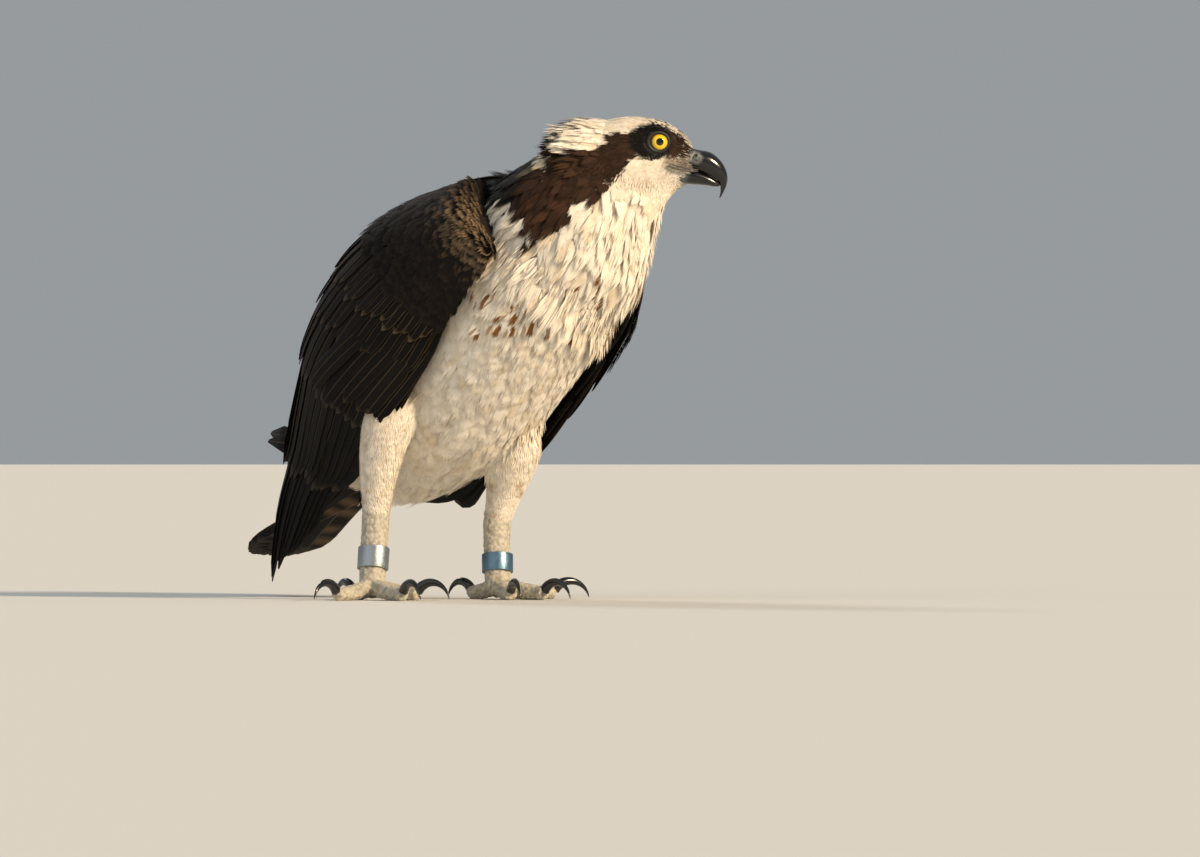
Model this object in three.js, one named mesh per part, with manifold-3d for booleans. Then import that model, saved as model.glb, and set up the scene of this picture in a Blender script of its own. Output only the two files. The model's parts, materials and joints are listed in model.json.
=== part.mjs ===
// A life-size osprey standing on a level floor and looking to its left, in millimetres.
// +X is the way the bill points, +Z is up and -Y is the side that the breast is turned to.
import * as THREE from "three";
import { mergeVertices } from "three/addons/utils/BufferGeometryUtils.js";
import Module from "manifold-3d";

const wasm = await Module();
wasm.setup();

// Driving dimensions
const JOIN_GAP = 0.3; // left between two nodes that meet
const BODY_CENTRE = new THREE.Vector3(31, 3, 171);
const BODY_PITCH = 43; // degrees that the back rises towards the neck
const BODY_YAW = -49.3; // degrees that the breast is turned from the bill
const BODY_ROLL = 14; // degrees that the left shoulder hangs lower
const EYE_PLACE = new THREE.Vector3(152.4, -76, 313.8); // between the two eyes
const EYE_RADIUS = 8.5;
const EYE_DEPTH = 12.7; // from the middle of the head to the middle of an eye
const LID_RADIUS = 7.7;
const TARSUS_RADIUS = 8.7; // under the leg bands
const BAND_WALL = 1.3;
const VANE_THICKNESS = 0.8;
const TAIL_LENGTH = 176;

const RADIANS = Math.PI / 180;
const UP = new THREE.Vector3(0, 0, 1);

// The body's own directions: along towards the neck, left, and dorsal
const bodyTurn = new THREE.Matrix4().makeRotationZ(BODY_YAW * RADIANS);
const along = new THREE.Vector3(Math.cos(BODY_PITCH * RADIANS), 0, Math.sin(BODY_PITCH * RADIANS));
along.applyMatrix4(bodyTurn);
const left = UP.clone().cross(along).normalize().applyAxisAngle(along, BODY_ROLL * -RADIANS);
const dorsal = along.clone().cross(left);

// A point given in the body's own directions, from the body's centre
function bodyPoint(forward, toLeft, toBack) {
  return BODY_CENTRE.clone()
    .addScaledVector(along, forward)
    .addScaledVector(left, toLeft)
    .addScaledVector(dorsal, toBack);
}

// A point round the body's axis: turn is in degrees from the back, positive to the side given
function roundBody(side, forward, turn, radius) {
  const toLeft = side * radius * Math.sin(turn * RADIANS);
  return bodyPoint(forward, toLeft, radius * Math.cos(turn * RADIANS));
}

// A closed geometry as a solid
function solidOf(geometry) {
  const plain = geometry.clone();
  for (const name of ["normal", "uv"]) plain.deleteAttribute(name);
  const merged = mergeVertices(plain, 1e-4);
  return new wasm.Manifold(
    new wasm.Mesh({
      numProp: 3,
      vertProperties: new Float32Array(merged.attributes.position.array),
      triVerts: new Uint32Array(merged.index.array),
    }),
  );
}

// The same, with its faces turned over where they point inwards
function facingOut(geometry) {
  const solid = solidOf(geometry);
  if (solid.volume() > 0) return solid;
  const index = geometry.index.array;
  for (let i = 0; i < index.length; i += 3) [index[i], index[i + 1]] = [index[i + 1], index[i]];
  return solidOf(geometry);
}

// The largest closed surface of a solid, as a geometry
function geometryOf(solid) {
  const pieces = solid.decompose().sort((a, b) => b.volume() - a.volume());
  const mesh = pieces[0].getMesh();
  const geometry = new THREE.BufferGeometry();
  geometry.setAttribute("position", new THREE.BufferAttribute(mesh.vertProperties.slice(), 3));
  geometry.setIndex(new THREE.BufferAttribute(mesh.triVerts.slice(), 1));
  return geometry;
}

function joined(solids) {
  return solids.reduce((whole, solid) => whole.add(solid));
}

// Stations along a body part, spread evenly through the ones given. A station is
// { at, across, upward, wide, over, under }: half widths across, and heights over and under its middle.
function spread(stations, count) {
  const middle = new THREE.CatmullRomCurve3(stations.map((s) => s.at), false, "centripetal");
  const sizes = new THREE.CatmullRomCurve3(
    stations.map((s) => new THREE.Vector3(s.wide, s.over, s.under)),
    false,
    "catmullrom",
    0.4,
  );
  const last = stations.length - 1;
  return Array.from({ length: count }, (_, i) => {
    const t = i / (count - 1);
    const k = Math.min(Math.floor(t * last), last - 1);
    const across = stations[k].across.clone().lerp(stations[k + 1].across, t * last - k).normalize();
    const upward = stations[k].upward.clone().lerp(stations[k + 1].upward, t * last - k).normalize();
    const size = sizes.getPoint(t);
    return { at: middle.getPoint(t), across, upward, wide: size.x, over: size.y, under: size.z };
  });
}

// A closed, rounded body part: a sphere whose rings are moved out to the stations
function loft(stations, sides, rings, grow = 0) {
  const places = spread(stations, rings - 1);
  const sphere = new THREE.SphereGeometry(1, sides, rings);
  const position = sphere.attributes.position;
  const ends = [stations[0], stations[stations.length - 1]];
  const outward = ends[1].at.clone().sub(ends[0].at).normalize();
  for (let row = 0; row <= rings; row += 1) {
    const pole = row === 0 || row === rings;
    const place = pole ? ends[row === 0 ? 0 : 1] : places[row - 1];
    const lift = pole ? (row === 0 ? -1 : 1) * (0.3 * place.over + grow) : 0;
    for (let column = 0; column <= sides; column += 1) {
      const turn = (column % sides) * 2 * Math.PI / sides;
      const height = Math.sin(turn) > 0 ? place.over + grow : place.under + grow;
      const point = place.at.clone().addScaledVector(outward, lift);
      if (!pole) {
        point.addScaledVector(place.across, (place.wide + grow) * Math.cos(turn));
        point.addScaledVector(place.upward, height * Math.sin(turn));
      }
      position.setXYZ(row * (sides + 1) + column, point.x, point.y, point.z);
    }
  }
  return facingOut(sphere);
}

// A round tapered limb through the points given, with its radius at each
function limb(points, radii, sides, rings, grow = 0) {
  const axis = points[points.length - 1].clone().sub(points[0]).normalize();
  const helper = Math.abs(axis.z) > 0.8 ? new THREE.Vector3(1, 0, 0) : UP;
  const across = axis.clone().cross(helper).normalize();
  const upward = across.clone().cross(axis).normalize();
  const stations = points.map((at, i) => ({
    at,
    across,
    upward,
    wide: radii[i],
    over: radii[i],
    under: radii[i],
  }));
  return loft(stations, sides, rings, grow);
}

// One feather: a thin cambered blade along a path of { at, side, out }, its two faces split alike.
// outline gives its half width at each part of its length.
function blade(path, outline, thickness = VANE_THICKNESS, camber = 0.03) {
  const steps = path.length - 1;
  const faces = [1, -1].map((face) => {
    const sheet = new THREE.PlaneGeometry(2, 1, 2, steps);
    const position = sheet.attributes.position;
    for (let i = 0; i < position.count; i += 1) {
      const column = (i % 3) - 1;
      const step = Math.floor(i / 3);
      const t = step / steps;
      const { at, side, out } = path[step];
      const half = outline(t);
      const rim = column === 0 ? 1 : 0.6;
      const taper = 1 - 0.5 * Math.max(0, t - 0.7) / 0.3;
      const rise = (face * thickness * rim * taper) / 2 - Math.abs(column) * camber * half;
      const point = at.clone().addScaledVector(side, column * half).addScaledVector(out, rise);
      position.setXYZ(i, point.x, point.y, point.z);
    }
    return sheet;
  });
  const rim = [];
  const cornerCount = 3 * (steps + 1);
  for (let step = 0; step < steps; step += 1) rim.push([3 * step, 3 * step + 3]);
  for (let column = 0; column < 2; column += 1) rim.push([3 * steps + column, 3 * steps + column + 1]);
  for (let step = steps; step > 0; step -= 1) rim.push([3 * step + 2, 3 * step - 1]);
  for (let column = 2; column > 0; column -= 1) rim.push([column, column - 1]);
  const index = [...faces[0].index.array];
  const under = faces[1].index.array;
  for (let i = 0; i < under.length; i += 3) {
    index.push(under[i + 1] + cornerCount, under[i] + cornerCount, under[i + 2] + cornerCount);
  }
  for (const [a, b] of rim) {
    index.push(a, a + cornerCount, b, b, a + cornerCount, b + cornerCount);
  }
  const geometry = new THREE.BufferGeometry();
  const corners = new Float32Array(cornerCount * 6);
  faces.forEach((sheet, face) => corners.set(sheet.attributes.position.array, face * cornerCount * 3));
  geometry.setAttribute("position", new THREE.BufferAttribute(corners, 3));
  geometry.setIndex(index);
  return facingOut(geometry);
}

// Half width along a flight feather: narrow at the root, even, then a rounded tip
function featherOutline(half, tip = 0.45) {
  return (t) => half * (t < 0.25 ? 0.5 + 2 * t : t > 0.82 ? 1 - (1 - tip) * ((t - 0.82) / 0.18) ** 2 : 1);
}

// Half width along a pointed lock: widest near its root
function lockOutline(half) {
  return (t) => half * Math.max(0.12, Math.sin(Math.PI * (0.28 + 0.7 * t)));
}

// Repeatable small differences between like pieces
function varied(seed) {
  const wave = Math.sin(seed * 12.9898) * 43758.5453;
  return wave - Math.floor(wave) - 0.5;
}

// Torso, neck and head

const TORSO_SECTIONS = [
  // forward, half width, height over, depth under
  [-130, 22, 18, 20],
  [-110, 37, 36, 35],
  [-80, 50, 60, 50],
  [-40, 60, 77, 61],
  [0, 65, 89, 64],
  [40, 66, 95, 66],
  [75, 62, 91, 64],
  [105, 52, 75, 56],
  [125, 38, 54, 42],
  [138, 20, 20, 24],
];

function torso(grow) {
  const stations = TORSO_SECTIONS.map(([forward, wide, over, under]) => ({
    at: bodyPoint(forward, 0, 0),
    across: left,
    upward: dorsal,
    wide,
    over,
    under,
  }));
  return loft(stations, 20, 14, grow);
}

const NECK_SECTIONS = [
  // middle of the section, half width, depth to the throat and to the nape
  [[74, -44, 222], 40, 58, 50],
  [[86, -57, 240], 50, 63, 62],
  [[99, -66, 258], 49, 56, 61],
  [[111, -72, 277], 41, 46, 53],
  [[121, -75, 295], 33, 45, 42],
  [[127, -76, 306], 20, 39, 26],
];

function neck(grow) {
  const foot = new THREE.Vector3(...NECK_SECTIONS[0][0]);
  const top = new THREE.Vector3(...NECK_SECTIONS[NECK_SECTIONS.length - 1][0]);
  const axis = top.sub(foot).normalize();
  const across = new THREE.Vector3(0, 1, 0).addScaledVector(axis, -axis.y).normalize();
  const upward = across.clone().cross(axis);
  const stations = NECK_SECTIONS.map(([at, wide, toThroat, toNape]) => ({
    at: new THREE.Vector3(...at),
    across,
    upward,
    wide,
    over: toThroat,
    under: toNape,
  }));
  return loft(stations, 18, 11, grow);
}

// The head's own directions are the part's: forward +X, left +Y, up +Z, from between the eyes
function headPoint(forward, toLeft, up) {
  return EYE_PLACE.clone().add(new THREE.Vector3(forward, toLeft, up));
}

const HEAD_SECTIONS = [
  // forward, middle height, half width, height over, depth under
  [27, -12, 7.5, 7, 9],
  [20, -11, 12.5, 16.8, 16],
  [8, -8.5, 18.5, 21, 22],
  [-5, -8, 23, 25.5, 28],
  [-20, -9, 26.5, 27.5, 31],
  [-36, -10, 27, 27, 32],
  [-50, -11, 22, 22, 27],
  [-60, -11, 11, 12, 15],
];

function headCore(grow) {
  const stations = HEAD_SECTIONS.map(([forward, middle, wide, over, under]) => ({
    at: headPoint(forward, 0, middle),
    across: new THREE.Vector3(0, 1, 0),
    upward: UP,
    wide,
    over,
    under,
  }));
  return loft(stations, 20, 14, grow);
}

// The ruffled crest: rings of locks round the back of the head, swept back. Each ring gives degrees
// from the rearmost point, how many locks, degrees round that they reach, and their length
const CREST_RINGS = [
  [26, 3, 70, 25],
  [54, 6, 95, 28],
  [80, 7, 100, 31],
  [104, 7, 82, 30],
];
const CREST_MIDDLE = new THREE.Vector3(-38, 0, -9);
const CREST_RADII = new THREE.Vector3(21, 24, 26);

function crest() {
  const middle = headPoint(CREST_MIDDLE.x, CREST_MIDDLE.y, CREST_MIDDLE.z);
  return CREST_RINGS.flatMap(([fromRear, count, reach, length], ring) =>
    Array.from({ length: count }, (_, i) => {
      const seed = ring * 20 + i;
      const round = ((i / (count - 1)) * 2 - 1) * reach * RADIANS;
      const rear = (fromRear + 8 * varied(seed)) * RADIANS;
      const outward = new THREE.Vector3(-Math.cos(rear), Math.sin(rear) * Math.sin(round), Math.sin(rear) * Math.cos(round));
      const root = middle.clone().addScaledVector(outward.clone().multiply(CREST_RADII), 0.93);
      const way = new THREE.Vector3(-1, 0, 0.05 + 0.2 * varied(seed + 5)).addScaledVector(outward, 0.42).normalize();
      const out = outward.clone().addScaledVector(way, -outward.dot(way));
      if (out.length() < 0.2) out.set(0, 0, 1);
      out.normalize();
      const side = way.clone().cross(out).normalize();
      const reachOut = length * (1 + 0.35 * varied(seed + 3));
      const path = [0, 0.55, 1].map((t) => ({
        at: root.clone().addScaledVector(way, reachOut * t).addScaledVector(out, -4 * t * t),
        side,
        out,
      }));
      return blade(path, lockOutline(7.2), 1.4, 0.1);
    }),
  );
}

function ball(radius, place, sides = 14, rings = 9) {
  const sphere = new THREE.SphereGeometry(radius, sides, rings).rotateX(Math.PI / 2);
  return solidOf(sphere.translate(place.x, place.y, place.z));
}

function eyePlace(side) {
  return headPoint(0, side * EYE_DEPTH, 0);
}

// The rim of lids round one eye, a little raised from the face
function lidRing(side) {
  const ring = new THREE.TorusGeometry(LID_RADIUS, 1.7, 5, 16).rotateX(Math.PI / 2).scale(1.08, 1, 0.92);
  const place = eyePlace(side);
  return solidOf(ring.translate(place.x, place.y + side * 4.6, place.z));
}

// The brow: a short ridge over the eye, sloping down to the bill
function brow(side) {
  const points = [
    headPoint(-11, side * 17.5, 6.5),
    headPoint(-1, side * 18, 8.2),
    headPoint(10, side * 14.5, 6),
    headPoint(17, side * 10, 1.5),
  ];
  return limb(points, [2, 3.2, 2.8, 1.2], 6, 6);
}

const BILL_SECTIONS = [
  // top forward and up, bottom forward and up, half width
  [19, -1, 15, -17.5, 9.5],
  [27.5, -3.5, 24, -19.3, 9.3],
  [36, -6.5, 32, -22.3, 7.8],
  [43, -12.5, 38, -25.3, 6],
  [46.8, -20, 41.3, -27.3, 4],
  [47.2, -27, 42.4, -30, 2.5],
  [45, -33, 42.4, -34, 1.4],
  [42.4, -37.6, 41.6, -37.2, 0.6],
];

const JAW_SECTIONS = [
  [12, -14.5, 14, -28, 8.8],
  [23, -17, 24, -28.6, 7.6],
  [32, -20.5, 32.5, -29.2, 5.8],
  [39.5, -25.5, 39, -30, 3],
];

function billHalf(sections, rings, grow) {
  const stations = sections.map(([topForward, topUp, bottomForward, bottomUp, wide]) => {
    const top = headPoint(topForward, 0, topUp);
    const bottom = headPoint(bottomForward, 0, bottomUp);
    const half = top.distanceTo(bottom) / 2;
    return {
      at: top.clone().add(bottom).multiplyScalar(0.5),
      across: new THREE.Vector3(0, 1, 0),
      upward: top.clone().sub(bottom).normalize(),
      wide,
      over: half,
      under: half,
    };
  });
  return loft(stations, 12, rings, grow);
}

const billUpper = (grow = 0) => billHalf(BILL_SECTIONS, 12, grow);
const billLower = (grow = 0) => billHalf(JAW_SECTIONS, 8, grow);

// The slit of a nostril, cut into the soft skin at the root of the bill
function nostril(side) {
  const slit = new THREE.SphereGeometry(1, 8, 6).scale(2.6, 2.2, 1.1).rotateY(0.5);
  const place = headPoint(27, side * 8.2, -8.5);
  return solidOf(slit.translate(place.x, place.y, place.z));
}

// The corner of the mouth, a shallow groove back from the bill to under the eye
function gape(side) {
  const points = [headPoint(24, side * 10.5, -19), headPoint(15, side * 15.8, -17), headPoint(8, side * 19.5, -15.4)];
  return limb(points, [1.1, 0.9, 0.3], 6, 5);
}

// Wings

// Four columns of places round the body, from the leading edge to the edge on the back, for each row
// from the wrist to the tip: forward, degrees round from the back, radius
const RIGHT_WING_ROWS = [
  [[110, 112, 64], [110, 85, 70], [108, 52, 77], [102, 18, 77]],
  [[85, 114, 69], [82, 85, 81], [78, 52, 99], [72, 14, 96]],
  [[45, 117, 70], [38, 85, 89], [30, 52, 114], [24, 10, 101]],
  [[5, 120, 71], [-8, 85, 92], [-22, 52, 115], [-30, 8, 97]],
  [[-45, 120, 71], [-56, 85, 88], [-68, 52, 105], [-72, 10, 86]],
  [[-85, 117, 62], [-98, 85, 75], [-112, 52, 90], [-112, 20, 74]],
  [[-125, 110, 51], [-140, 85, 61], [-152, 55, 74], [-145, 32, 64]],
  [[-175, 104, 43], [-190, 88, 49], [-198, 68, 57], [-190, 55, 58]],
  [[-236, 96, 32], [-249, 88, 31], [-253, 80, 32], [-247, 74, 34]],
];
const LEFT_WING_ROWS = [
  [[116, 118, 64], [112, 88, 67], [106, 52, 70], [102, 18, 74]],
  [[88, 124, 74], [84, 88, 79], [76, 52, 88], [72, 14, 92]],
  [[48, 126, 75], [40, 88, 83], [30, 50, 97], [24, 10, 98]],
  [[0, 126, 72], [-8, 88, 84], [-18, 48, 101], [-28, 8, 98]],
  [[-45, 122, 67], [-55, 80, 82], [-64, 42, 99], [-70, 8, 97]],
  [[-95, 110, 56], [-105, 70, 78], [-110, 36, 98], [-112, 8, 99]],
  [[-142, 84, 63], [-152, 50, 88], [-157, 26, 108], [-154, 6, 110]],
  [[-202, 44, 99], [-212, 28, 118], [-217, 16, 130], [-215, 7, 132]],
  [[-262, 7, 138.5], [-270, 4.1, 151.8], [-272, 5.6, 175.2], [-266, 8, 194.4]],
];

// A wing's outer surface: place and outward direction for a row (from the wrist) and a part across it
function wingSurface(side, rows) {
  const columns = [0, 1, 2, 3].map(
    (column) => new THREE.CatmullRomCurve3(rows.map((row) => roundBody(side, ...row[column])), false, "catmullrom", 0.5),
  );
  const last = rows.length - 1;
  const place = (row, across) => {
    const t = Math.min(Math.max(row / last, 0), 1);
    const ribs = new THREE.CatmullRomCurve3(columns.map((curve) => curve.getPoint(t)), false, "catmullrom", 0.5);
    return ribs.getPoint(Math.min(Math.max(across, 0), 1));
  };
  return (row, across, lift = 0) => {
    const at = place(row, across);
    const step = 0.04;
    const down = place(row + step, across).sub(place(row - step, across)).normalize();
    const over = place(row, across + step).sub(place(row, across - step)).normalize();
    const out = over.clone().cross(down).multiplyScalar(-side).normalize();
    return { at: at.addScaledVector(out, lift), down, over, out };
  };
}

// The fleshy core of a wing: a shell that follows the surface from the wrist, thinner to the rear
const CORE_END = 4.3;
const CORE_ROUND = 1.2;

function wingCore(surface) {
  const box = new THREE.BoxGeometry(1, 1, 1, 6, 6, 1);
  const position = box.attributes.position;
  for (let i = 0; i < position.count; i += 1) {
    const row = (position.getX(i) + 0.5) * CORE_END;
    const across = 0.02 + (position.getY(i) + 0.5) * 0.94;
    const edge = Math.min(1, (0.5 - Math.abs(position.getY(i))) * 6 + 0.15);
    const front = Math.min(1, row / CORE_ROUND + 0.3);
    const depth = (11 - 1.9 * row) * edge * front + 0.8;
    const lift = position.getZ(i) > 0 ? -1.2 * (1 - edge * front) : -depth;
    const { at } = surface(row, across, lift);
    position.setXYZ(i, at.x, at.y, at.z);
  }
  return facingOut(box);
}

// Tiers of feathers, the lowest first: rows of the first and last feather's root and tip, parts across
// of each at root and tip, how many, half width, and how far the tier stands off the surface
const WING_TIERS = [
  { root: [3.4, 3.6], tip: [7.3, 8], first: [0.1, 0.14], last: [0.4, 0.75], count: 4, half: 11, lift: 1 },
  { root: [2.8, 3.2], tip: [5.6, 6.3], first: [0.08, 0.05], last: [0.92, 0.95], count: 7, half: 16, lift: 3.4 },
  { root: [1.9, 2.1], tip: [3.7, 4.4], first: [0.07, 0.06], last: [0.8, 0.84], count: 6, half: 16, lift: 5.6 },
  { root: [1.7, 2], tip: [4.6, 5.4], first: [0.78, 0.78], last: [0.96, 0.96], count: 2, half: 14, lift: 7 },
  { root: [0.9, 1.1], tip: [2.6, 3], first: [0.08, 0.07], last: [0.78, 0.8], count: 5, half: 16, lift: 6.6 },
  { root: [0.8, 0.8], tip: [2.4, 3.1], first: [0.85, 0.84], last: [0.97, 0.97], count: 2, half: 14, lift: 7.6 },
  { root: [0.2, 0.2], tip: [1.7, 1.9], first: [0.1, 0.1], last: [0.9, 0.92], count: 5, half: 15, lift: 6.4 },
];
const FEATHER_STEP = 1.5; // how far each feather lies over the next one in its tier
const MOST_TILT = 0.32;
const ROOT_SUNK = 2.4; // how deep a feather's root sits under the wing's surface

function wingFeathers(surface, seed) {
  return WING_TIERS.flatMap((tier, tierIndex) =>
    Array.from({ length: tier.count }, (_, i) => {
      const part = i / (tier.count - 1);
      const mix = (pair) => pair[0] + (pair[1] - pair[0]) * part;
      const rootRow = mix(tier.root);
      const tipRow = mix(tier.tip) + 0.2 * varied(seed + tierIndex * 31 + i);
      const path = [0, 0.4, 0.85, 1].map((t) => {
        const first = tier.first[0] + (tier.first[1] - tier.first[0]) * t;
        const last = tier.last[0] + (tier.last[1] - tier.last[0]) * t;
        const row = rootRow + (tipRow - rootRow) * t;
        const across = first + (last - first) * part;
        const pitch = (last - first) / (tier.count - 1);
        const near = surface(row, across - pitch / 2).at.distanceTo(surface(row, across + pitch / 2).at);
        const rise = (tier.lift + ROOT_SUNK) * t ** 0.75 - ROOT_SUNK;
        const { at, down, over, out } = surface(row, across, rise);
        const sideways = over.clone().addScaledVector(down, -over.dot(down)).normalize();
        const tilt = Math.min(MOST_TILT, FEATHER_STEP / near);
        return { at, side: sideways.addScaledVector(out, -tilt).normalize(), out };
      });
      return blade(path, featherOutline(tier.half * (0.94 + 0.12 * part)));
    }),
  );
}

function wing(side, rows, seed) {
  const surface = wingSurface(side, rows);
  return joined([wingCore(surface), ...wingFeathers(surface, seed)]);
}

// Tail: a fan of feathers from the rump, the middle pair on top
const TAIL_ROOT = [-112, 0, 8];
const TAIL_TIP = [-293, 0.6, 87.5];
const TAIL_PAIRS = 3;
const TAIL_FAN = 3.5; // degrees between neighbouring feathers
const TAIL_HALF = 14;

function tail() {
  const root = bodyPoint(...TAIL_ROOT);
  const way = bodyPoint(...TAIL_TIP).sub(root).normalize();
  const across = left.clone().addScaledVector(way, -left.dot(way)).normalize();
  const out = way.clone().cross(across).normalize();
  if (out.z < 0) out.negate();
  const feathers = [];
  for (let i = 0; i < TAIL_PAIRS; i += 1) {
    for (const side of [-1, 1]) {
      const turn = side * (i + 0.5) * TAIL_FAN * RADIANS;
      const direction = way.clone().applyAxisAngle(out, turn);
      const sideways = out.clone().cross(direction).normalize();
      if (sideways.dot(across) < 0) sideways.negate();
      const length = TAIL_LENGTH * (1 - 0.012 * i * i);
      const height = -1.5 * i - (side > 0 ? 0.75 : 0);
      const path = [0, 0.45, 0.88, 1].map((t) => ({
        at: root.clone()
          .addScaledVector(direction, length * t)
          .addScaledVector(across, side * (i + 0.5) * 4)
          .addScaledVector(out, height - 5 * t * t),
        side: sideways.clone().addScaledVector(out, -side * 0.04).normalize(),
        out,
      }));
      feathers.push(blade(path, featherOutline(TAIL_HALF, 0.5), VANE_THICKNESS, 0.05));
    }
  }
  const rump = (forward, deep) => root.clone().addScaledVector(way, forward).addScaledVector(out, deep);
  const stations = [[-14, 0, 26, 15], [8, -1, 27, 14], [34, -2, 25, 10], [60, -2, 21, 5.5]].map(
    ([forward, deep, wide, over]) => ({
      at: rump(forward, deep),
      across,
      upward: out,
      wide,
      over,
      under: over,
    }),
  );
  return joined([loft(stations, 12, 7), ...feathers]);
}

// Legs

const LEGS = [
  {
    name: "right",
    side: -1,
    thigh: [[-21, -15, 146], [-33, -21, 124], [-39, -17, 98], [-42, -11.5, 70], [-42.5, -10.5, 55]],
    thighRadii: [20, 19.5, 16.5, 13, 10.6],
    foot: [-44.8, -21, 13],
    band: [21, 36],
  },
  {
    name: "left",
    side: 1,
    thigh: [[46, 10, 128], [54, 16, 108], [50, 22, 86], [44.5, 26, 67], [41, 26, 52]],
    thighRadii: [21, 21, 17.5, 13.6, 11.4],
    foot: [41.5, 17, 13],
    band: [18.5, 31],
  },
];
function points(list) {
  return list.map((place) => new THREE.Vector3(...place));
}

function thigh(leg, grow = 0) {
  return limb(points(leg.thigh), leg.thighRadii, 12, 8, grow);
}

// The axis of the lower leg, from the heel down to the foot
function shank(leg) {
  return new THREE.LineCurve3(new THREE.Vector3(...leg.thigh[4]), new THREE.Vector3(...leg.foot));
}

function tarsus(leg, grow = 0) {
  const axis = shank(leg);
  const places = [-0.08, 0.12, 0.3, 0.6, 0.9, 1.05].map((t) => axis.getPoint(t));
  const radii = [9.6, 9.6, TARSUS_RADIUS, TARSUS_RADIUS, TARSUS_RADIUS, TARSUS_RADIUS - 0.4];
  return limb(places, radii, 12, 7, grow);
}

// Toes: degrees left of the way the breast faces, length, radius at the root and the end
const TOES = [
  { name: "inner", turn: -22, length: 37, radii: [6.6, 5.2] },
  { name: "middle", turn: 8, length: 46, radii: [6.8, 5.2] },
  { name: "outer", turn: 72, length: 41, radii: [6.4, 5] },
  { name: "hind", turn: 186, length: 27, radii: [6.6, 5.4] },
];
const CLAW_REACH = { radius: 14.2, from: 55, to: -78 }; // the curve of a claw, and its slope at root and tip
const CLAW_ROOT = 3.9;

function toeWay(leg, toe) {
  const turn = (BODY_YAW - 4 + leg.side * toe.turn) * RADIANS;
  return new THREE.Vector3(Math.cos(turn), Math.sin(turn), 0);
}

function toeSolid(leg, toe, grow = 0) {
  const way = toeWay(leg, toe);
  const start = new THREE.Vector3(leg.foot[0], leg.foot[1], 9);
  const heights = [9, 8.2, 6, 5.2, 5.2];
  const swell = [1, 0.92, 1, 0.88, 1];
  const places = [0, 0.28, 0.55, 0.8, 1].map((t, i) => {
    const place = start.clone().addScaledVector(way, toe.length * t);
    place.z = heights[i] - 0.6;
    return place;
  });
  const radii = swell.map((k, i) => k * (toe.radii[0] + (toe.radii[1] - toe.radii[0]) * (i / 4)));
  return limb(places, radii, 7, 7, grow);
}

function claw(leg, toe) {
  const way = toeWay(leg, toe);
  const start = new THREE.Vector3(leg.foot[0], leg.foot[1], 0).addScaledVector(way, toe.length + 1.5);
  start.z = 6.8;
  const { radius, from, to } = CLAW_REACH;
  const size = toe.name === "hind" ? 0.94 : 1;
  const steps = 6;
  const places = Array.from({ length: steps + 1 }, (_, i) => {
    const slope = (from + ((to - from) * i) / steps) * RADIANS;
    const ahead = radius * size * (Math.sin(from * RADIANS) - Math.sin(slope));
    const rise = radius * size * (Math.cos(slope) - Math.cos(from * RADIANS));
    return start.clone().addScaledVector(way, ahead).addScaledVector(UP, rise);
  });
  const across = way.clone().cross(UP).normalize();
  const stations = places.map((at, i) => {
    const t = i / steps;
    const slope = (from + (to - from) * t) * RADIANS;
    const upward = UP.clone().multiplyScalar(Math.cos(slope)).addScaledVector(way, -Math.sin(slope));
    const thick = CLAW_ROOT * (1 - 0.88 * t ** 1.3);
    return { at, across, upward, wide: thick * 0.85, over: thick, under: thick };
  });
  return loft(stations, 6, 7);
}

// Everything under the floor, taken off so that the toes stand on small flats
function underFloor() {
  return solidOf(new THREE.BoxGeometry(600, 600, 40).translate(0, 0, -20));
}

function foot(leg) {
  const instep = ball(9.4, new THREE.Vector3(leg.foot[0], leg.foot[1], 10.5), 9, 6);
  const toes = TOES.map((toe) => toeSolid(leg, toe));
  return joined([instep, ...toes]).subtract(underFloor());
}

// A plain metal ring round the lower leg
function legBand(leg) {
  const [low, high] = leg.band;
  const inner = TARSUS_RADIUS + JOIN_GAP;
  const outer = inner + BAND_WALL;
  const half = (high - low) / 2;
  const profile = [
    new THREE.Vector2(inner, -half),
    new THREE.Vector2(outer, -half),
    new THREE.Vector2(outer, half),
    new THREE.Vector2(inner, half),
    new THREE.Vector2(inner, -half),
  ];
  const ring = new THREE.LatheGeometry(profile, 18).rotateX(Math.PI / 2);
  const axis = shank(leg);
  const way = axis.v1.clone().sub(axis.v2).normalize();
  ring.applyQuaternion(new THREE.Quaternion().setFromUnitVectors(UP, way));
  const rise = (low + half - axis.v2.z) / (axis.v1.z - axis.v2.z);
  const place = axis.v2.clone().lerp(axis.v1, rise);
  return solidOf(ring.translate(place.x, place.y, place.z));
}

// Colours and finishes
function finish(color, roughness, metalness = 0) {
  return new THREE.MeshStandardMaterial({ color, roughness, metalness });
}

const finishes = {
  white: finish("#e9e2d3", 0.85),
  brown: finish("#33281f", 0.8),
  horn: finish("#15161a", 0.3),
  iris: finish("#e0b818", 0.15),
  skin: finish("#a9a596", 0.7),
  metal: finish("#9aa3a8", 0.4, 0.9),
};

const bird = new THREE.Group();
bird.name = "osprey";

function add(name, solid, material) {
  const mesh = new THREE.Mesh(geometryOf(solid), material);
  mesh.name = name;
  bird.add(mesh);
  return mesh;
}

const sides = [["right", -1, RIGHT_WING_ROWS, 3], ["left", 1, LEFT_WING_ROWS, 57]];
const torsoSpace = torso(JOIN_GAP);
const neckSpace = neck(JOIN_GAP);
const headSpace = headCore(JOIN_GAP);
const tailSolid = tail().subtract(torsoSpace);

add("torso", torso(0), finishes.white);
add("neck", neck(0).subtract(torsoSpace).subtract(headSpace), finishes.white);
add("tail", tailSolid, finishes.brown);

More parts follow.
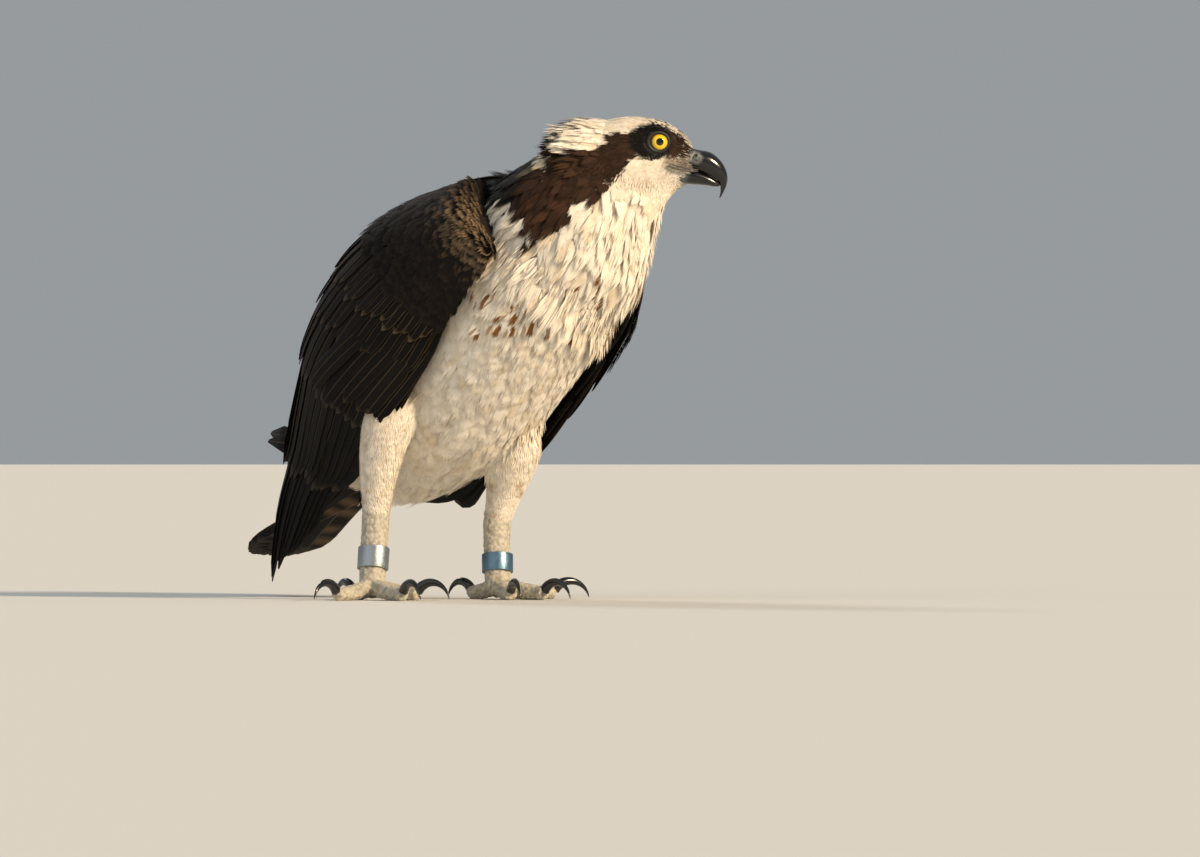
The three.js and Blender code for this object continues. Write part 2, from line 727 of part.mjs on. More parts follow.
const eyeSpaces = sides.map(([, side]) => ball(EYE_RADIUS + JOIN_GAP, eyePlace(side)));
let head = joined([headCore(0), ...sides.flatMap(([, side]) => [lidRing(side), brow(side)])]);
head = head.add(joined(crest()).subtract(neckSpace).subtract(torsoSpace));
for (const space of [...eyeSpaces, billUpper(JOIN_GAP), billLower(JOIN_GAP)]) head = head.subtract(space);
for (const [, side] of sides) head = head.subtract(gape(side));
add("head", head, finishes.white);
let upperBill = billUpper();
for (const [, side] of sides) upperBill = upperBill.subtract(nostril(side));
for (const space of eyeSpaces) upperBill = upperBill.subtract(space);
add("bill_upper", upperBill, finishes.horn);
add("bill_lower", billLower().subtract(billUpper(JOIN_GAP)), finishes.horn);

for (const [name, side, rows, seed] of sides) {
  add(`eye_${name}`, ball(EYE_RADIUS, eyePlace(side)), finishes.iris);
  let wingSolid = wing(side, rows, seed);
  for (const space of [torsoSpace, neckSpace, ...LEGS.map((leg) => thigh(leg, JOIN_GAP))]) {
    wingSolid = wingSolid.subtract(space);
  }
  add(`wing_${name}`, wingSolid, finishes.brown);
}

for (const leg of LEGS) {
  const tarsusSpace = tarsus(leg, JOIN_GAP);
  const thighSpace = thigh(leg, JOIN_GAP);
  add(`thigh_${leg.name}`, thigh(leg).subtract(torsoSpace), finishes.white);
  add(`tarsus_${leg.name}`, tarsus(leg).subtract(thighSpace), finishes.skin);
  add(`foot_${leg.name}`, foot(leg).subtract(tarsusSpace), finishes.skin);
  add(`leg_band_${leg.name}`, legBand(leg), finishes.metal);
  for (const toe of TOES) {
    add(`claw_${leg.name}_${toe.name}`, claw(leg, toe).subtract(toeSolid(leg, toe, JOIN_GAP)), finishes.horn);
  }
}

// The origin goes to the floor, in the middle of the bird's bounding box
const reach = new THREE.Box3().setFromObject(bird);
const middle = reach.getCenter(new THREE.Vector3());
for (const mesh of bird.children) mesh.position.set(-middle.x, -middle.y, -reach.min.z);

export default bird;
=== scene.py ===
# %% [markdown]
# A life-size osprey, dressed
#
# The construction already exists: solids for torso, neck, head, wings, legs and claws, in metres, on the
# floor. This lesson gives them a skin, feathers, horn, eyes and light. Each step says what the piece is on
# the real bird, how it could be made, and why it is made as it is.

import json
import math

import bpy
import numpy as np
from mathutils import Matrix, Vector
from mathutils.bvhtree import BVHTree

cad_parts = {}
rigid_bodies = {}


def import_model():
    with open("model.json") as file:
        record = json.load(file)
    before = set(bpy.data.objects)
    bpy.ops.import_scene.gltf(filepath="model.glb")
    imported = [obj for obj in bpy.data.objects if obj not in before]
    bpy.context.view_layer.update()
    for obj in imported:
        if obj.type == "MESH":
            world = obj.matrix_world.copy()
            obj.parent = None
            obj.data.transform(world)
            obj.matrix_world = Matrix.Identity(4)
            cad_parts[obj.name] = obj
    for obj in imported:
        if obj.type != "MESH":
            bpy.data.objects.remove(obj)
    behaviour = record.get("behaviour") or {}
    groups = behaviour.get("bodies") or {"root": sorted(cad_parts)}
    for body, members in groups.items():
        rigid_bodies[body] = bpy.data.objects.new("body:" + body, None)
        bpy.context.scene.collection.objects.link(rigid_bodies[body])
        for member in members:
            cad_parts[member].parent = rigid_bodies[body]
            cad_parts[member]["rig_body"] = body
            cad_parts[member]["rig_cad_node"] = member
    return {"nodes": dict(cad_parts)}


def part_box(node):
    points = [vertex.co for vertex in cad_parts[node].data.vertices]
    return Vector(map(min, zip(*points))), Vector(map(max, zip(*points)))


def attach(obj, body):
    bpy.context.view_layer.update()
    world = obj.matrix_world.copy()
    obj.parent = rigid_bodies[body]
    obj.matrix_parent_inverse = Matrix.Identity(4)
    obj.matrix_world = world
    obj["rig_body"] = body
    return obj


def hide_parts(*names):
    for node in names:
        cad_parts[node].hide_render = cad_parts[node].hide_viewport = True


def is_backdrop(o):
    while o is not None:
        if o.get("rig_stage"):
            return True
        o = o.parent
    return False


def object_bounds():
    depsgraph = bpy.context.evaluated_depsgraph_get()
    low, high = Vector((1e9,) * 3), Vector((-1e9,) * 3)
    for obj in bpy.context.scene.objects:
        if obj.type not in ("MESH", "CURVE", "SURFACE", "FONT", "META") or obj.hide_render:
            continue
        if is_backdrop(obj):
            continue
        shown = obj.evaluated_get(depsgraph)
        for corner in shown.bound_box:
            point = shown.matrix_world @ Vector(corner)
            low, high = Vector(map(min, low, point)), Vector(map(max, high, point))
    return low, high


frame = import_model()
solid_box = [list(corner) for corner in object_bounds()]
MM = 0.001
bpy.ops.object.select_all(action="DESELECT")
print("solid box", [[round(value, 3) for value in corner] for corner in solid_box])

# %% [markdown]
# Where things are
#
# The bird's places are written in millimetres from the middle of its feet, as a taxidermist would note
# them. One known point, the middle of the right eye, ties those places to the loaded model.

# %% Places on the bird
EYE_MIDDLE = np.array([152.4, -76.0, 313.8])  # between the two eyes
EYE_OUT = 12.7  # from there to the middle of an eye
EYE_RADIUS = 8.5
eye_low, eye_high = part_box("eye_right")
SHIFT = (np.array(eye_low) + np.array(eye_high)) / 2 - (EYE_MIDDLE - [0, EYE_OUT, 0]) * MM


def metres(points):
    """Places in the bird's millimetres as places in the scene."""
    return np.asarray(points, float) * MM + SHIFT


def on_head(forward, left, up):
    """A place given from between the eyes."""
    return EYE_MIDDLE + np.array([forward, left, up])


# %% Directions of the body
BODY_MIDDLE = np.array([31.0, 3.0, 171.0])
PITCH, YAW, ROLL = (math.radians(value) for value in (43.0, -49.3, 14.0))
ALONG = np.array([math.cos(PITCH) * math.cos(YAW), math.cos(PITCH) * math.sin(YAW), math.sin(PITCH)])
level_left = np.cross([0, 0, 1], ALONG)
LEFT = np.array(Matrix.Rotation(-ROLL, 3, Vector(ALONG)) @ Vector(level_left / np.linalg.norm(level_left)))
DORSAL = np.cross(ALONG, LEFT)


def on_body(forward, left, dorsal):
    """A place given along the body's own directions."""
    forward, left, dorsal = (np.asarray(value, float)[..., None] for value in (forward, left, dorsal))
    return BODY_MIDDLE + forward * ALONG + left * LEFT + dorsal * DORSAL


def unit(vectors):
    return vectors / np.maximum(np.linalg.norm(vectors, axis=-1, keepdims=True), 1e-12)


def smooth_step(low, high, value):
    part = np.clip((value - low) / (high - low), 0, 1)
    return part * part * (3 - 2 * part)


def spline(knots, parts):
    """A smooth curve through the knots, read at parts of its length from 0 to 1."""
    knots = np.asarray(knots, float)
    padded = np.concatenate([[2 * knots[0] - knots[1]], knots, [2 * knots[-1] - knots[-2]]])
    reach = np.clip(np.asarray(parts, float), 0, 1) * (len(knots) - 1)
    step = np.minimum(reach.astype(int), len(knots) - 2)
    rest = (reach - step).reshape((-1,) + (1,) * (knots.ndim - 1))
    before, here, there, after = (padded[step + i] for i in range(4))
    lean_here, lean_there = (there - before) / 2, (after - here) / 2
    square, cube = rest**2, rest**3
    return (
        here * (2 * cube - 3 * square + 1)
        + lean_here * (cube - 2 * square + rest)
        + there * (3 * square - 2 * cube)
        + lean_there * (cube - square)
    )


# %% [markdown]
# Camera
#
# The bird was seen from its own height, a long way off, so the view is level and nearly without
# perspective. A long lens from eight metres gives the same.

# %% Camera
FRAME_WIDTH = 0.8276  # metres across the picture at the bird
VIEW_MIDDLE = metres([112.4, -20.0, 118.3])
CAMERA_DISTANCE = 8.0
bpy.ops.object.camera_add(
    location=(VIEW_MIDDLE[0], VIEW_MIDDLE[1] - CAMERA_DISTANCE, VIEW_MIDDLE[2]),
    rotation=(math.radians(90), 0, 0),
)
camera = bpy.context.object
camera.name = "camera"
camera.data.sensor_width = 36
camera.data.lens = 36 * CAMERA_DISTANCE / FRAME_WIDTH
camera.data.clip_end = 100
bpy.context.scene.camera = camera
print("lens", round(camera.data.lens), "mm")

# %% [markdown]
# Colours and materials
#
# A feather is keratin: dull, a little soft in sheen, and its colour is in the vane. The markings run over
# skin and feathers alike, so one function works them out from the place on the bird, each mesh keeps them
# in its own attribute, and the material reads that.


# %% Colours
def colour(code):
    """An sRGB hex code as linear red, green and blue."""
    parts = [int(code[i : i + 2], 16) / 255 for i in (1, 3, 5)]
    return np.array([c / 12.92 if c <= 0.04045 else ((c + 0.055) / 1.055) ** 2.4 for c in parts])


CREAM = colour("#f8eedd")
BUFF = colour("#e0cba8")
TAN = colour("#b9936a")
STRIPE_BROWN = colour("#3a281b")
# The two darkest browns are the plumage's own dark brown with painted shade in it: they are made near-black,
# as the wings and tail look in shade
DARK_BROWN_AND_SHADE = colour("#110d0a")
FLIGHT_BROWN_AND_SHADE = colour("#0d0b09")
PALE_EDGE = colour("#a08565")
LORE_GREY = colour("#5f4f40")
EYE_BLACK = colour("#0d0a08")
MARK_BROWN = colour("#80552a")


def add_node(tree, kind, settings=None, inputs=None):
    """Adds a node, sets it, and fills or links its inputs."""
    node = tree.nodes.new(kind)
    for name, value in (settings or {}).items():
        setattr(node, name, value)
    for name, value in (inputs or {}).items():
        socket = node.inputs[name]
        if isinstance(value, bpy.types.NodeSocket):
            tree.links.new(value, socket)
        else:
            socket.default_value = value
    return node


def new_material(name, **shader_values):
    """A material with one Principled shader whose plain values are set on its own sockets."""
    material = bpy.data.materials.new(name)
    material.use_nodes = True
    shader = material.node_tree.nodes["Principled BSDF"]
    for key, value in shader_values.items():
        shader.inputs[key.replace("_", " ").title().replace("Ior", "IOR")].default_value = value
    return material, material.node_tree, shader


def per_metre(size):
    """The noise scale that makes patches of that many millimetres."""
    return 1 / (size * MM)


def mottled(name, patch, low, high, grain, depth, **shader_values):
    """A material coloured by the mesh's tint, in darker and lighter patches and with a fine grain.

    Patch, grain and the grain's depth are in millimetres.
    """
    material, tree, shader = new_material(name, **shader_values)
    place = add_node(tree, "ShaderNodeTexCoord").outputs["Object"]
    tint = add_node(tree, "ShaderNodeAttribute", {"attribute_name": "tint"})
    patches = add_node(
        tree, "ShaderNodeTexNoise", None, {"Vector": place, "Scale": per_metre(patch), "Detail": 3.0}
    )
    change = add_node(
        tree, "ShaderNodeMapRange", None,
        {"Value": patches.outputs["Fac"], "From Min": 0.3, "From Max": 0.7, "To Min": low, "To Max": high},
    )
    shade = add_node(
        tree, "ShaderNodeVectorMath", {"operation": "SCALE"},
        {"Vector": tint.outputs["Color"], "Scale": change.outputs["Result"]},
    )
    tree.links.new(shade.outputs["Vector"], shader.inputs["Base Color"])
    grains = add_node(
        tree, "ShaderNodeTexNoise", None, {"Vector": place, "Scale": per_metre(grain), "Detail": 2.0}
    )
    bump = add_node(
        tree, "ShaderNodeBump", None,
        {"Height": grains.outputs["Fac"], "Strength": 0.5, "Distance": depth * MM},
    )
    tree.links.new(bump.outputs["Normal"], shader.inputs["Normal"])
    return material


# Keratin vanes: dull and nearly without shine, because their barbs scatter the light
plumage = mottled(
    "feather_keratin", 6.25, 0.86, 1.1, 0.6667, 0.2,
    roughness=0.8, sheen_weight=0.02, specular_ior_level=0.15,
)
# Bare bird skin, dull and a little uneven, seen only between the feathers
bare_skin = mottled("bird_skin", 8.333, 0.85, 1.05, 1.111, 0.3, roughness=0.8)


# %% [markdown]
# Markings
#
# White crown, a dark stripe from the lores through the eye that spreads down the side of the neck, a dark
# mantle, and white underparts. Each is a distance from a named path or plane, so it has no seam.

# %% Markings
DARK_OUTLINE = np.array(
    # forward and up from the eye: over the eye, along the crown's edge, round the neck patch and back
    [
        [20, -5], [18.5, 0], [14.3, 5.6], [8, 9.4], [2, 11.4], [-4, 11.2], [-10, 9], [-14, 6.5], [-22, 7],
        [-28, 5], [-31, -0.5], [-39, -6], [-46, -5.5], [-55, 0], [-63, 0.5], [-67, -6], [-71, -13],
        [-75, -14], [-79, 0], [-170, 8], [-170, -45], [-122, -38], [-112, -46], [-98, -55], [-93, -63],
        [-88, -70], [-80, -66], [-73, -65], [-67, -64], [-63, -59], [-58, -48], [-50, -45], [-42, -45],
        [-34, -35], [-32, -26], [-25, -21], [-20, -16.5], [-14, -9.5], [-9, -7], [0, -9], [8, -8], [13, -9],
    ],
    float,
)
NAPE_LOCK = np.array([[-88, -25], [-80, -19], [-71, -22], [-74, -28], [-84, -30]], float)
DROP_MARKS = (-120, -32, -124, -82)  # the breast's marked part: rear, front, low and high from the eye


def to_body(points):
    """Forward, left and dorsal places on the body for places in millimetres."""
    away = points - BODY_MIDDLE
    return np.stack([away @ ALONG, away @ LEFT, away @ DORSAL], -1)


def depth_inside(places, outline):
    """How deep flat places lie inside an outline, in millimetres, less than 0 outside."""
    x, y = places[:, :1], places[:, 1:]
    x0, y0 = outline.T
    x1, y1 = np.roll(outline, -1, 0).T
    run, climb = x1 - x0, y1 - y0
    part = np.clip(((x - x0) * run + (y - y0) * climb) / (run**2 + climb**2), 0, 1)
    away = np.hypot(x - x0 - part * run, y - y0 - part * climb).min(1)
    crossed = ((y0 > y) != (y1 > y)) & (x < run * (y - y0) / np.where(climb == 0, 1, climb) + x0)
    return np.where(crossed.sum(1) % 2 == 1, away, -away)


def drift(points, size, seed):
    """A smooth change from about -1 to 1 over the bird, with clumps of that size in millimetres."""
    draw = np.random.default_rng(seed)
    ways = unit(draw.normal(size=(5, 3))) * (2 * math.pi / size) * draw.uniform(0.7, 1.3, (5, 1))
    return np.sin(points @ ways.T + draw.uniform(0, 6.3, 5)).sum(1) / 3


def markings(points, seed):
    """The plumage's colour at places in millimetres."""
    draw = np.random.default_rng(seed)
    count = len(points)
    forward, _, up = (points - EYE_MIDDLE).T
    body = to_body(points)
    side_view = np.stack([forward, up], -1)
    ragged = draw.normal(0, 1.0, count)
    tint = CREAM + (BUFF - CREAM) * (draw.random(count) ** 4)[:, None] * 0.7
    paleness = 0.97 + 0.03 * drift(points, 30, 5)
    tint = tint * (paleness * draw.uniform(0.95, 1.02, count))[:, None]
    on_neck = smooth_step(0, 25, -up) * smooth_step(-20, -60, forward)
    rufous = np.clip(0.5 + 0.6 * drift(points, 16, 6), 0, 1)
    warmth = 1 + (rufous * on_neck)[:, None] * [0.45, 0.34, 0.27]
    brown = STRIPE_BROWN * (0.5 + 0.6 * draw.random((count, 1))) * warmth
    unevenness = ragged * (0.8 + 2.6 * on_neck)
    stripe = smooth_step(-0.3, 0.3, depth_inside(side_view, DARK_OUTLINE) + unevenness)
    # the mantle's lower edge, which sinks over the rump and follows the tail
    edge = 0.44 * np.maximum(-100 - body[:, 0], 0) - 32 * smooth_step(-50, -105, body[:, 0])
    mantle = smooth_step(29, 39, body[:, 2] - edge) * smooth_step(112, 92, body[:, 0])
    mantle = 1.0 * (mantle > draw.random(count))
    far_back = smooth_step(-74, -96, forward - 0.4 * (up + 20))
    brown = brown + (DARK_BROWN_AND_SHADE * 1.2 - brown) * far_back[:, None]
    lock = smooth_step(-1, 1, depth_inside(side_view, NAPE_LOCK) + ragged)
    lores = smooth_step(4, 9, forward) * smooth_step(0, -4, up) * smooth_step(-21, -15, up)
    from_eye = np.hypot((forward + 2.0) / 1.08, up - 0.6) + 0.3 * ragged
    round_eye = smooth_step(12.6, 10.6, from_eye)
    crown = smooth_step(-10, 0, forward) * smooth_step(6, 11, up) * (draw.random(count) < 0.33)
    steps = (
        (lores * draw.uniform(0.45, 1.0, count), LORE_GREY),
        (crown, DARK_BROWN_AND_SHADE),
        (stripe, brown),
        (mantle, DARK_BROWN_AND_SHADE),
        (round_eye, EYE_BLACK),
        (lock * (draw.random(count) < 0.5), BUFF),
    )
    for share, shade in steps:
        tint = tint + (shade - tint) * share[:, None]
    return tint


# %% [markdown]
# Shapes that are drawn through rings
#
# A head, a bill or a claw is a tube whose section changes along a curve. Spinning gives only round things,
# so these are drawn as rings of points between two poles, from the same named sections as the solids.


# %% Tubes
def new_piece(name, points, faces):
    """A mesh object at the origin from points in metres."""
    mesh = bpy.data.meshes.new(name)
    mesh.from_pydata(np.asarray(points).tolist(), [], faces)
    piece = bpy.data.objects.new(name, mesh)
    bpy.context.scene.collection.objects.link(piece)
    return piece


def face_outwards(piece):
    """Selects the piece alone, turns its faces outwards and smooths its shading."""
    bpy.ops.object.select_all(action="DESELECT")
    piece.select_set(True)
    bpy.context.view_layer.objects.active = piece
    bpy.ops.object.mode_set(mode="EDIT")
    bpy.ops.mesh.select_all(action="SELECT")
    bpy.ops.mesh.normals_make_consistent(inside=False)
    bpy.ops.object.mode_set(mode="OBJECT")
    bpy.ops.object.shade_smooth()


END_BULGE = 0.3  # how far a tube's end stands out, in parts of its height


def tube(name, middles, across, upward, wide, over, under, sides, squareness=1.0):
    """A closed tube in millimetres: at each middle, half widths across, and heights over and under."""
    turns = np.linspace(0, 2 * math.pi, sides, endpoint=False)
    cosines, sines = np.cos(turns), np.sin(turns)
    cosines = np.sign(cosines) * np.abs(cosines) ** squareness
    sines = np.sign(sines) * np.abs(sines) ** squareness
    heights = np.where(sines[None, :] > 0, over[:, None], under[:, None]) * sines[None, :]
    sideways = across[:, None] * (wide[:, None] * cosines)[..., None]
    rings = middles[:, None] + sideways + upward[:, None] * heights[..., None]
    count = len(middles)
    first = middles[0] - END_BULGE * over[0] * unit(middles[1] - middles[0])
    last = middles[-1] + END_BULGE * over[-1] * unit(middles[-1] - middles[-2])
    points = metres(np.concatenate([rings.reshape(-1, 3), [first, last]]))
    faces = []
    for ring in range(count - 1):
        for side in range(sides):
            here, beside = ring * sides + side, ring * sides + (side + 1) % sides
            faces.append((here, beside, beside + sides, here + sides))
    for side in range(sides):
        beside = (side + 1) % sides
        faces.append((beside, side, count * sides))
        faces.append(((count - 1) * sides + side, (count - 1) * sides + beside, count * sides + 1))
    piece = new_piece(name, points, faces)
    face_outwards(piece)
    return piece


def limb_tube(name, places, radii, sides=24, rings=24):
    """A round tube through places in millimetres."""
    places, radii = np.asarray(places, float), np.asarray(radii, float)
    parts = np.linspace(0, 1, rings)
    middles, thick = spline(places, parts), spline(radii[:, None], parts)[:, 0]
    way = unit(places[-1] - places[0])
    helper = np.array([1.0, 0, 0]) if abs(way[2]) > 0.8 else np.array([0, 0, 1.0])
    across = unit(np.cross(way, helper))
    upward = np.cross(across, way)
    each = np.ones((rings, 1))
    return tube(name, middles, each * across, each * upward, thick, thick, thick, sides)


def apply_modifier(piece, kind, **settings):
    """Adds a modifier, sets it and applies it."""
    modifier = piece.modifiers.new(kind.lower(), kind)
    for key, value in settings.items():
        setattr(modifier, key, value)
    bpy.context.view_layer.objects.active = piece
    bpy.ops.object.modifier_apply(modifier=modifier.name)


def joined_copy(name, nodes, extra=()):
    """One object of merged copies of solid nodes and of other pieces, which are used up."""
    copies = []
    for node in nodes:
        copy = frame["nodes"][node].copy()
        copy.data = copy.data.copy()
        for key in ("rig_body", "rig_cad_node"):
            del copy[key]
        copy.parent = None
        bpy.context.scene.collection.objects.link(copy)
        copies.append(copy)
    bpy.ops.object.select_all(action="DESELECT")
    for copy in [*copies, *extra]:
        copy.select_set(True)
    bpy.context.view_layer.objects.active = copies[0] if copies else extra[0]
    bpy.ops.object.join()
    piece = bpy.context.object
    piece.name = piece.data.name = name
    bpy.ops.object.mode_set(mode="EDIT")
    bpy.ops.mesh.select_all(action="SELECT")
    bpy.ops.mesh.remove_doubles(threshold=1e-5)
    bpy.ops.object.mode_set(mode="OBJECT")
    piece.data.materials.clear()
    return piece


def unwrap_for_coat(piece):
    """Gives the active piece the unwrap that feathers find their colour patches on."""
    bpy.ops.object.mode_set(mode="EDIT")
    bpy.ops.mesh.select_all(action="SELECT")
    bpy.ops.uv.smart_project(angle_limit=math.radians(66), island_margin=0.004)
    bpy.ops.object.mode_set(mode="OBJECT")
    piece.data.uv_layers[0].name = "OFBake"


def tell(*pieces):
    for piece in pieces:
        print(piece.name, "faces", len(piece.data.polygons))


def set_tint(piece, tints):
    """Keeps a colour for each corner point of the mesh."""
    layer = piece.data.color_attributes.new("tint", "FLOAT_COLOR", "POINT")
    full = np.ones((len(piece.data.vertices), 4), np.float32)
    full[:, :3] = tints
    layer.data.foreach_set("color", full.ravel())


def corners_of(piece):
    """The mesh's points in millimetres."""
    points = np.zeros(len(piece.data.vertices) * 3, np.float32)
    piece.data.vertices.foreach_get("co", points)
    return (points.reshape(-1, 3).astype(float) - SHIFT) / MM


def move_corners(piece, points):
    piece.data.vertices.foreach_set("co", metres(points).astype(np.float32).ravel())
    piece.data.update()


# %% [markdown]
# Skin
#
# Under its feathers a bird is one skin. Copies of the solids of the flesh are merged, with a finer head,
# throat and rump, remeshed into one surface, smoothed, and drawn in by the depth of the coat.

# %% The head's form
HEAD_SECTIONS = np.array(
    # forward, middle height, half width, height over, depth under
    [
        [25.5, -12.5, 7.5, 7.5, 14],
        [19.5, -11.5, 12, 18, 18.5],
        [8, -8.5, 18.5, 23.8, 22],
        [-5, -8, 23, 26.8, 28],
        [-20, -9, 26.5, 28.8, 31],
        [-36, -10, 27, 27, 32],
        [-50, -11, 22, 22, 27],
        [-60, -11, 11, 12, 15],
    ],
    float,
)
head_rows = spline(HEAD_SECTIONS, np.linspace(0, 1, 40))
each_row = np.ones((40, 1))
head_form = tube(
    "head_form",
    on_head(0, 0, 0) + np.stack([head_rows[:, 0], 0 * head_rows[:, 0], head_rows[:, 1]], -1),
    each_row * [0, 1, 0],
    each_row * [0, 0, 1],
    head_rows[:, 2],
    head_rows[:, 3],
    head_rows[:, 4],
    56,
)
brow_forms = [
    limb_tube(
        f"brow_form_{side}",
        [
            on_head(-11, side * 17, 6.5),
            on_head(-1, side * 18, 9),
            on_head(9, side * 15, 6.6),
            on_head(17, side * 9.5, 1.5),
        ],
        [2.2, 4.2, 3.4, 1.6],
    )
    for side in (-1, 1)
]

throat_form = limb_tube(
    "throat_form",
    [
        on_head(20, 0, -22),
        on_head(12.6, 0, -24),
        on_head(3.3, 0, -28.6),
        on_head(-5.4, 0, -34.8),
        on_head(-12.8, 0, -43.5),
        on_head(-19, 0, -67.8),
    ],
    [5, 7.5, 11, 14, 16, 17],
    sides=32,
)

# %% The rump's form
TAIL_ROOT = on_body(-112, 0, 8)
TAIL_WAY = unit(on_body(-293, 0.6, 87.5) - TAIL_ROOT)
TAIL_ACROSS = unit(LEFT - (LEFT @ TAIL_WAY) * TAIL_WAY)
TAIL_OUT = np.cross(TAIL_WAY, TAIL_ACROSS)
TAIL_OUT = TAIL_OUT if TAIL_OUT[2] > 0 else -TAIL_OUT
RUMP_SECTIONS = np.array([[-14, 0, 26, 15], [8, -1, 27, 14], [34, -2, 25, 10], [60, -2, 21, 5.5]], float)
rump_rows = spline(RUMP_SECTIONS, np.linspace(0, 1, 16))
each_row = np.ones((16, 1))
rump_form = tube(
    "rump_form",
    TAIL_ROOT + rump_rows[:, :1] * TAIL_WAY + rump_rows[:, 1:2] * TAIL_OUT,
    each_row * TAIL_ACROSS,
    each_row * TAIL_OUT,
    rump_rows[:, 2],
    rump_rows[:, 3],
    rump_rows[:, 3],
    32,
)

# %% One skin
COAT_DEPTH = 2.0
SKIN_VOXEL = 2.1
FLESH = ["torso", "neck", "thigh_right", "thigh_left"]
skin = joined_copy("skin", FLESH, [head_form, throat_form, rump_form, *brow_forms])
apply_modifier(skin, "REMESH", mode="VOXEL", voxel_size=SKIN_VOXEL * MM)
apply_modifier(skin, "SMOOTH", factor=0.5, iterations=9)
apply_modifier(skin, "DISPLACE", strength=-COAT_DEPTH * MM, mid_level=0.0)
bpy.ops.object.shade_smooth()
unwrap_for_coat(skin)
skin.data.materials.append(bare_skin)
set_tint(skin, markings(corners_of(skin), 1) * 0.8)
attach(skin, "root")
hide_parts("torso", "neck", "head", "thigh_right", "thigh_left")
skin_tree = BVHTree.FromPolygons(
    [vertex.co.copy() for vertex in skin.data.vertices], [list(face.vertices) for face in skin.data.polygons]
)
tell(skin)

# %% [markdown]
# Feathers as vanes of barbs
#
# A body feather is a soft vane: barbs side by side that part at the tip. Each is made here as a row of
# thin three-sided barbs from one root, so it has a real edge and real shadows. It follows the skin: rays
# find how high the skin lies under its middle and its tip. Thousands are needed, so they are worked out
# together and kept as one mesh for each part of the bird.


# %% Roots on a surface
TRIES = 3.2  # places tried for each square of the spacing


class Surface:
    """Triangles, normals and unwrap of a mesh, for putting roots on it."""

    def __init__(self, piece):
        mesh = piece.data
        mesh.calc_loop_triangles()
        count = len(mesh.loop_triangles)
        corners, loops = np.zeros(count * 3, int), np.zeros(count * 3, int)
        mesh.loop_triangles.foreach_get("vertices", corners)
        mesh.loop_triangles.foreach_get("loops", loops)
        normals = np.zeros(len(mesh.vertices) * 3)
        mesh.vertices.foreach_get("normal", normals)
        unwrap = np.zeros(len(mesh.loops) * 2)
        mesh.uv_layers["OFBake"].data.foreach_get("uv", unwrap)
        self.corners = corners.reshape(-1, 3)
        self.points = corners_of(piece)
        self.normals = normals.reshape(-1, 3)
        self.unwrap = unwrap.reshape(-1, 2)[loops.reshape(-1, 3)]
        a, b, c = (self.points[self.corners[:, i]] for i in range(3))
        self.areas = np.linalg.norm(np.cross(b - a, c - a), axis=1) / 2

    def roots(self, spacing, keep, seed):
        """Places at least that far apart where keep(points, normals) is true, with normals and unwrap."""
        draw = np.random.default_rng(seed)
        middles = self.points[self.corners].mean(1)
        weight = self.areas * keep(middles, unit(self.normals[self.corners].mean(1)))
        wanted = int(weight.sum() / spacing**2 * TRIES)
        picks = draw.choice(len(weight), wanted, p=weight / weight.sum())
        shares = draw.dirichlet([1, 1, 1], wanted)[:, :, None]
        points = (self.points[self.corners[picks]] * shares).sum(1)
        taken, order = {}, []
        cells = np.floor(points / spacing).astype(int)
        for i, cell in enumerate(map(tuple, cells)):
            near = (
                j
                for dx in (-1, 0, 1)
                for dy in (-1, 0, 1)
                for dz in (-1, 0, 1)
                for j in taken.get((cell[0] + dx, cell[1] + dy, cell[2] + dz), ())
            )
            if all(np.dot(points[i] - points[j], points[i] - points[j]) > spacing**2 for j in near):
                taken.setdefault(cell, []).append(i)
                order.append(i)
        order = np.array(order)
        normals = unit((self.normals[self.corners[picks[order]]] * shares[order]).sum(1))
        unwrap = (self.unwrap[picks[order]] * shares[order]).sum(1)
        return points[order], normals, unwrap


# %% Feathers from roots
PATCH = 0.003  # width of one feather's patch on the unwrap
PROBE = 8.0  # how far over the skin its height is looked for, in millimetres
MOST_DROP, MOST_RISE = 4.0, 6.0  # how far a feather bends down or up with the skin
BARB_WIDTH = 1.9  # in shares of the vane, so that barbs overlap
BARB_HEIGHT = 0.12  # in parts of the barb's width


def skin_heights(roots, outs, ways, length):
    """How far the skin lies over each root's level at half and at full length of its feather."""
    heights = []
    for part in (0.5, 1.0):
        probes = metres(roots + ways * (length * part)[:, None] + outs * PROBE)
        hits = [skin_tree.ray_cast(Vector(p), Vector(-o), 2 * PROBE * MM)[3] for p, o in zip(probes, outs)]
        heights.append([-MOST_DROP if hit is None else PROBE - hit / MM for hit in hits])
    return np.clip(heights, -MOST_DROP, MOST_RISE)


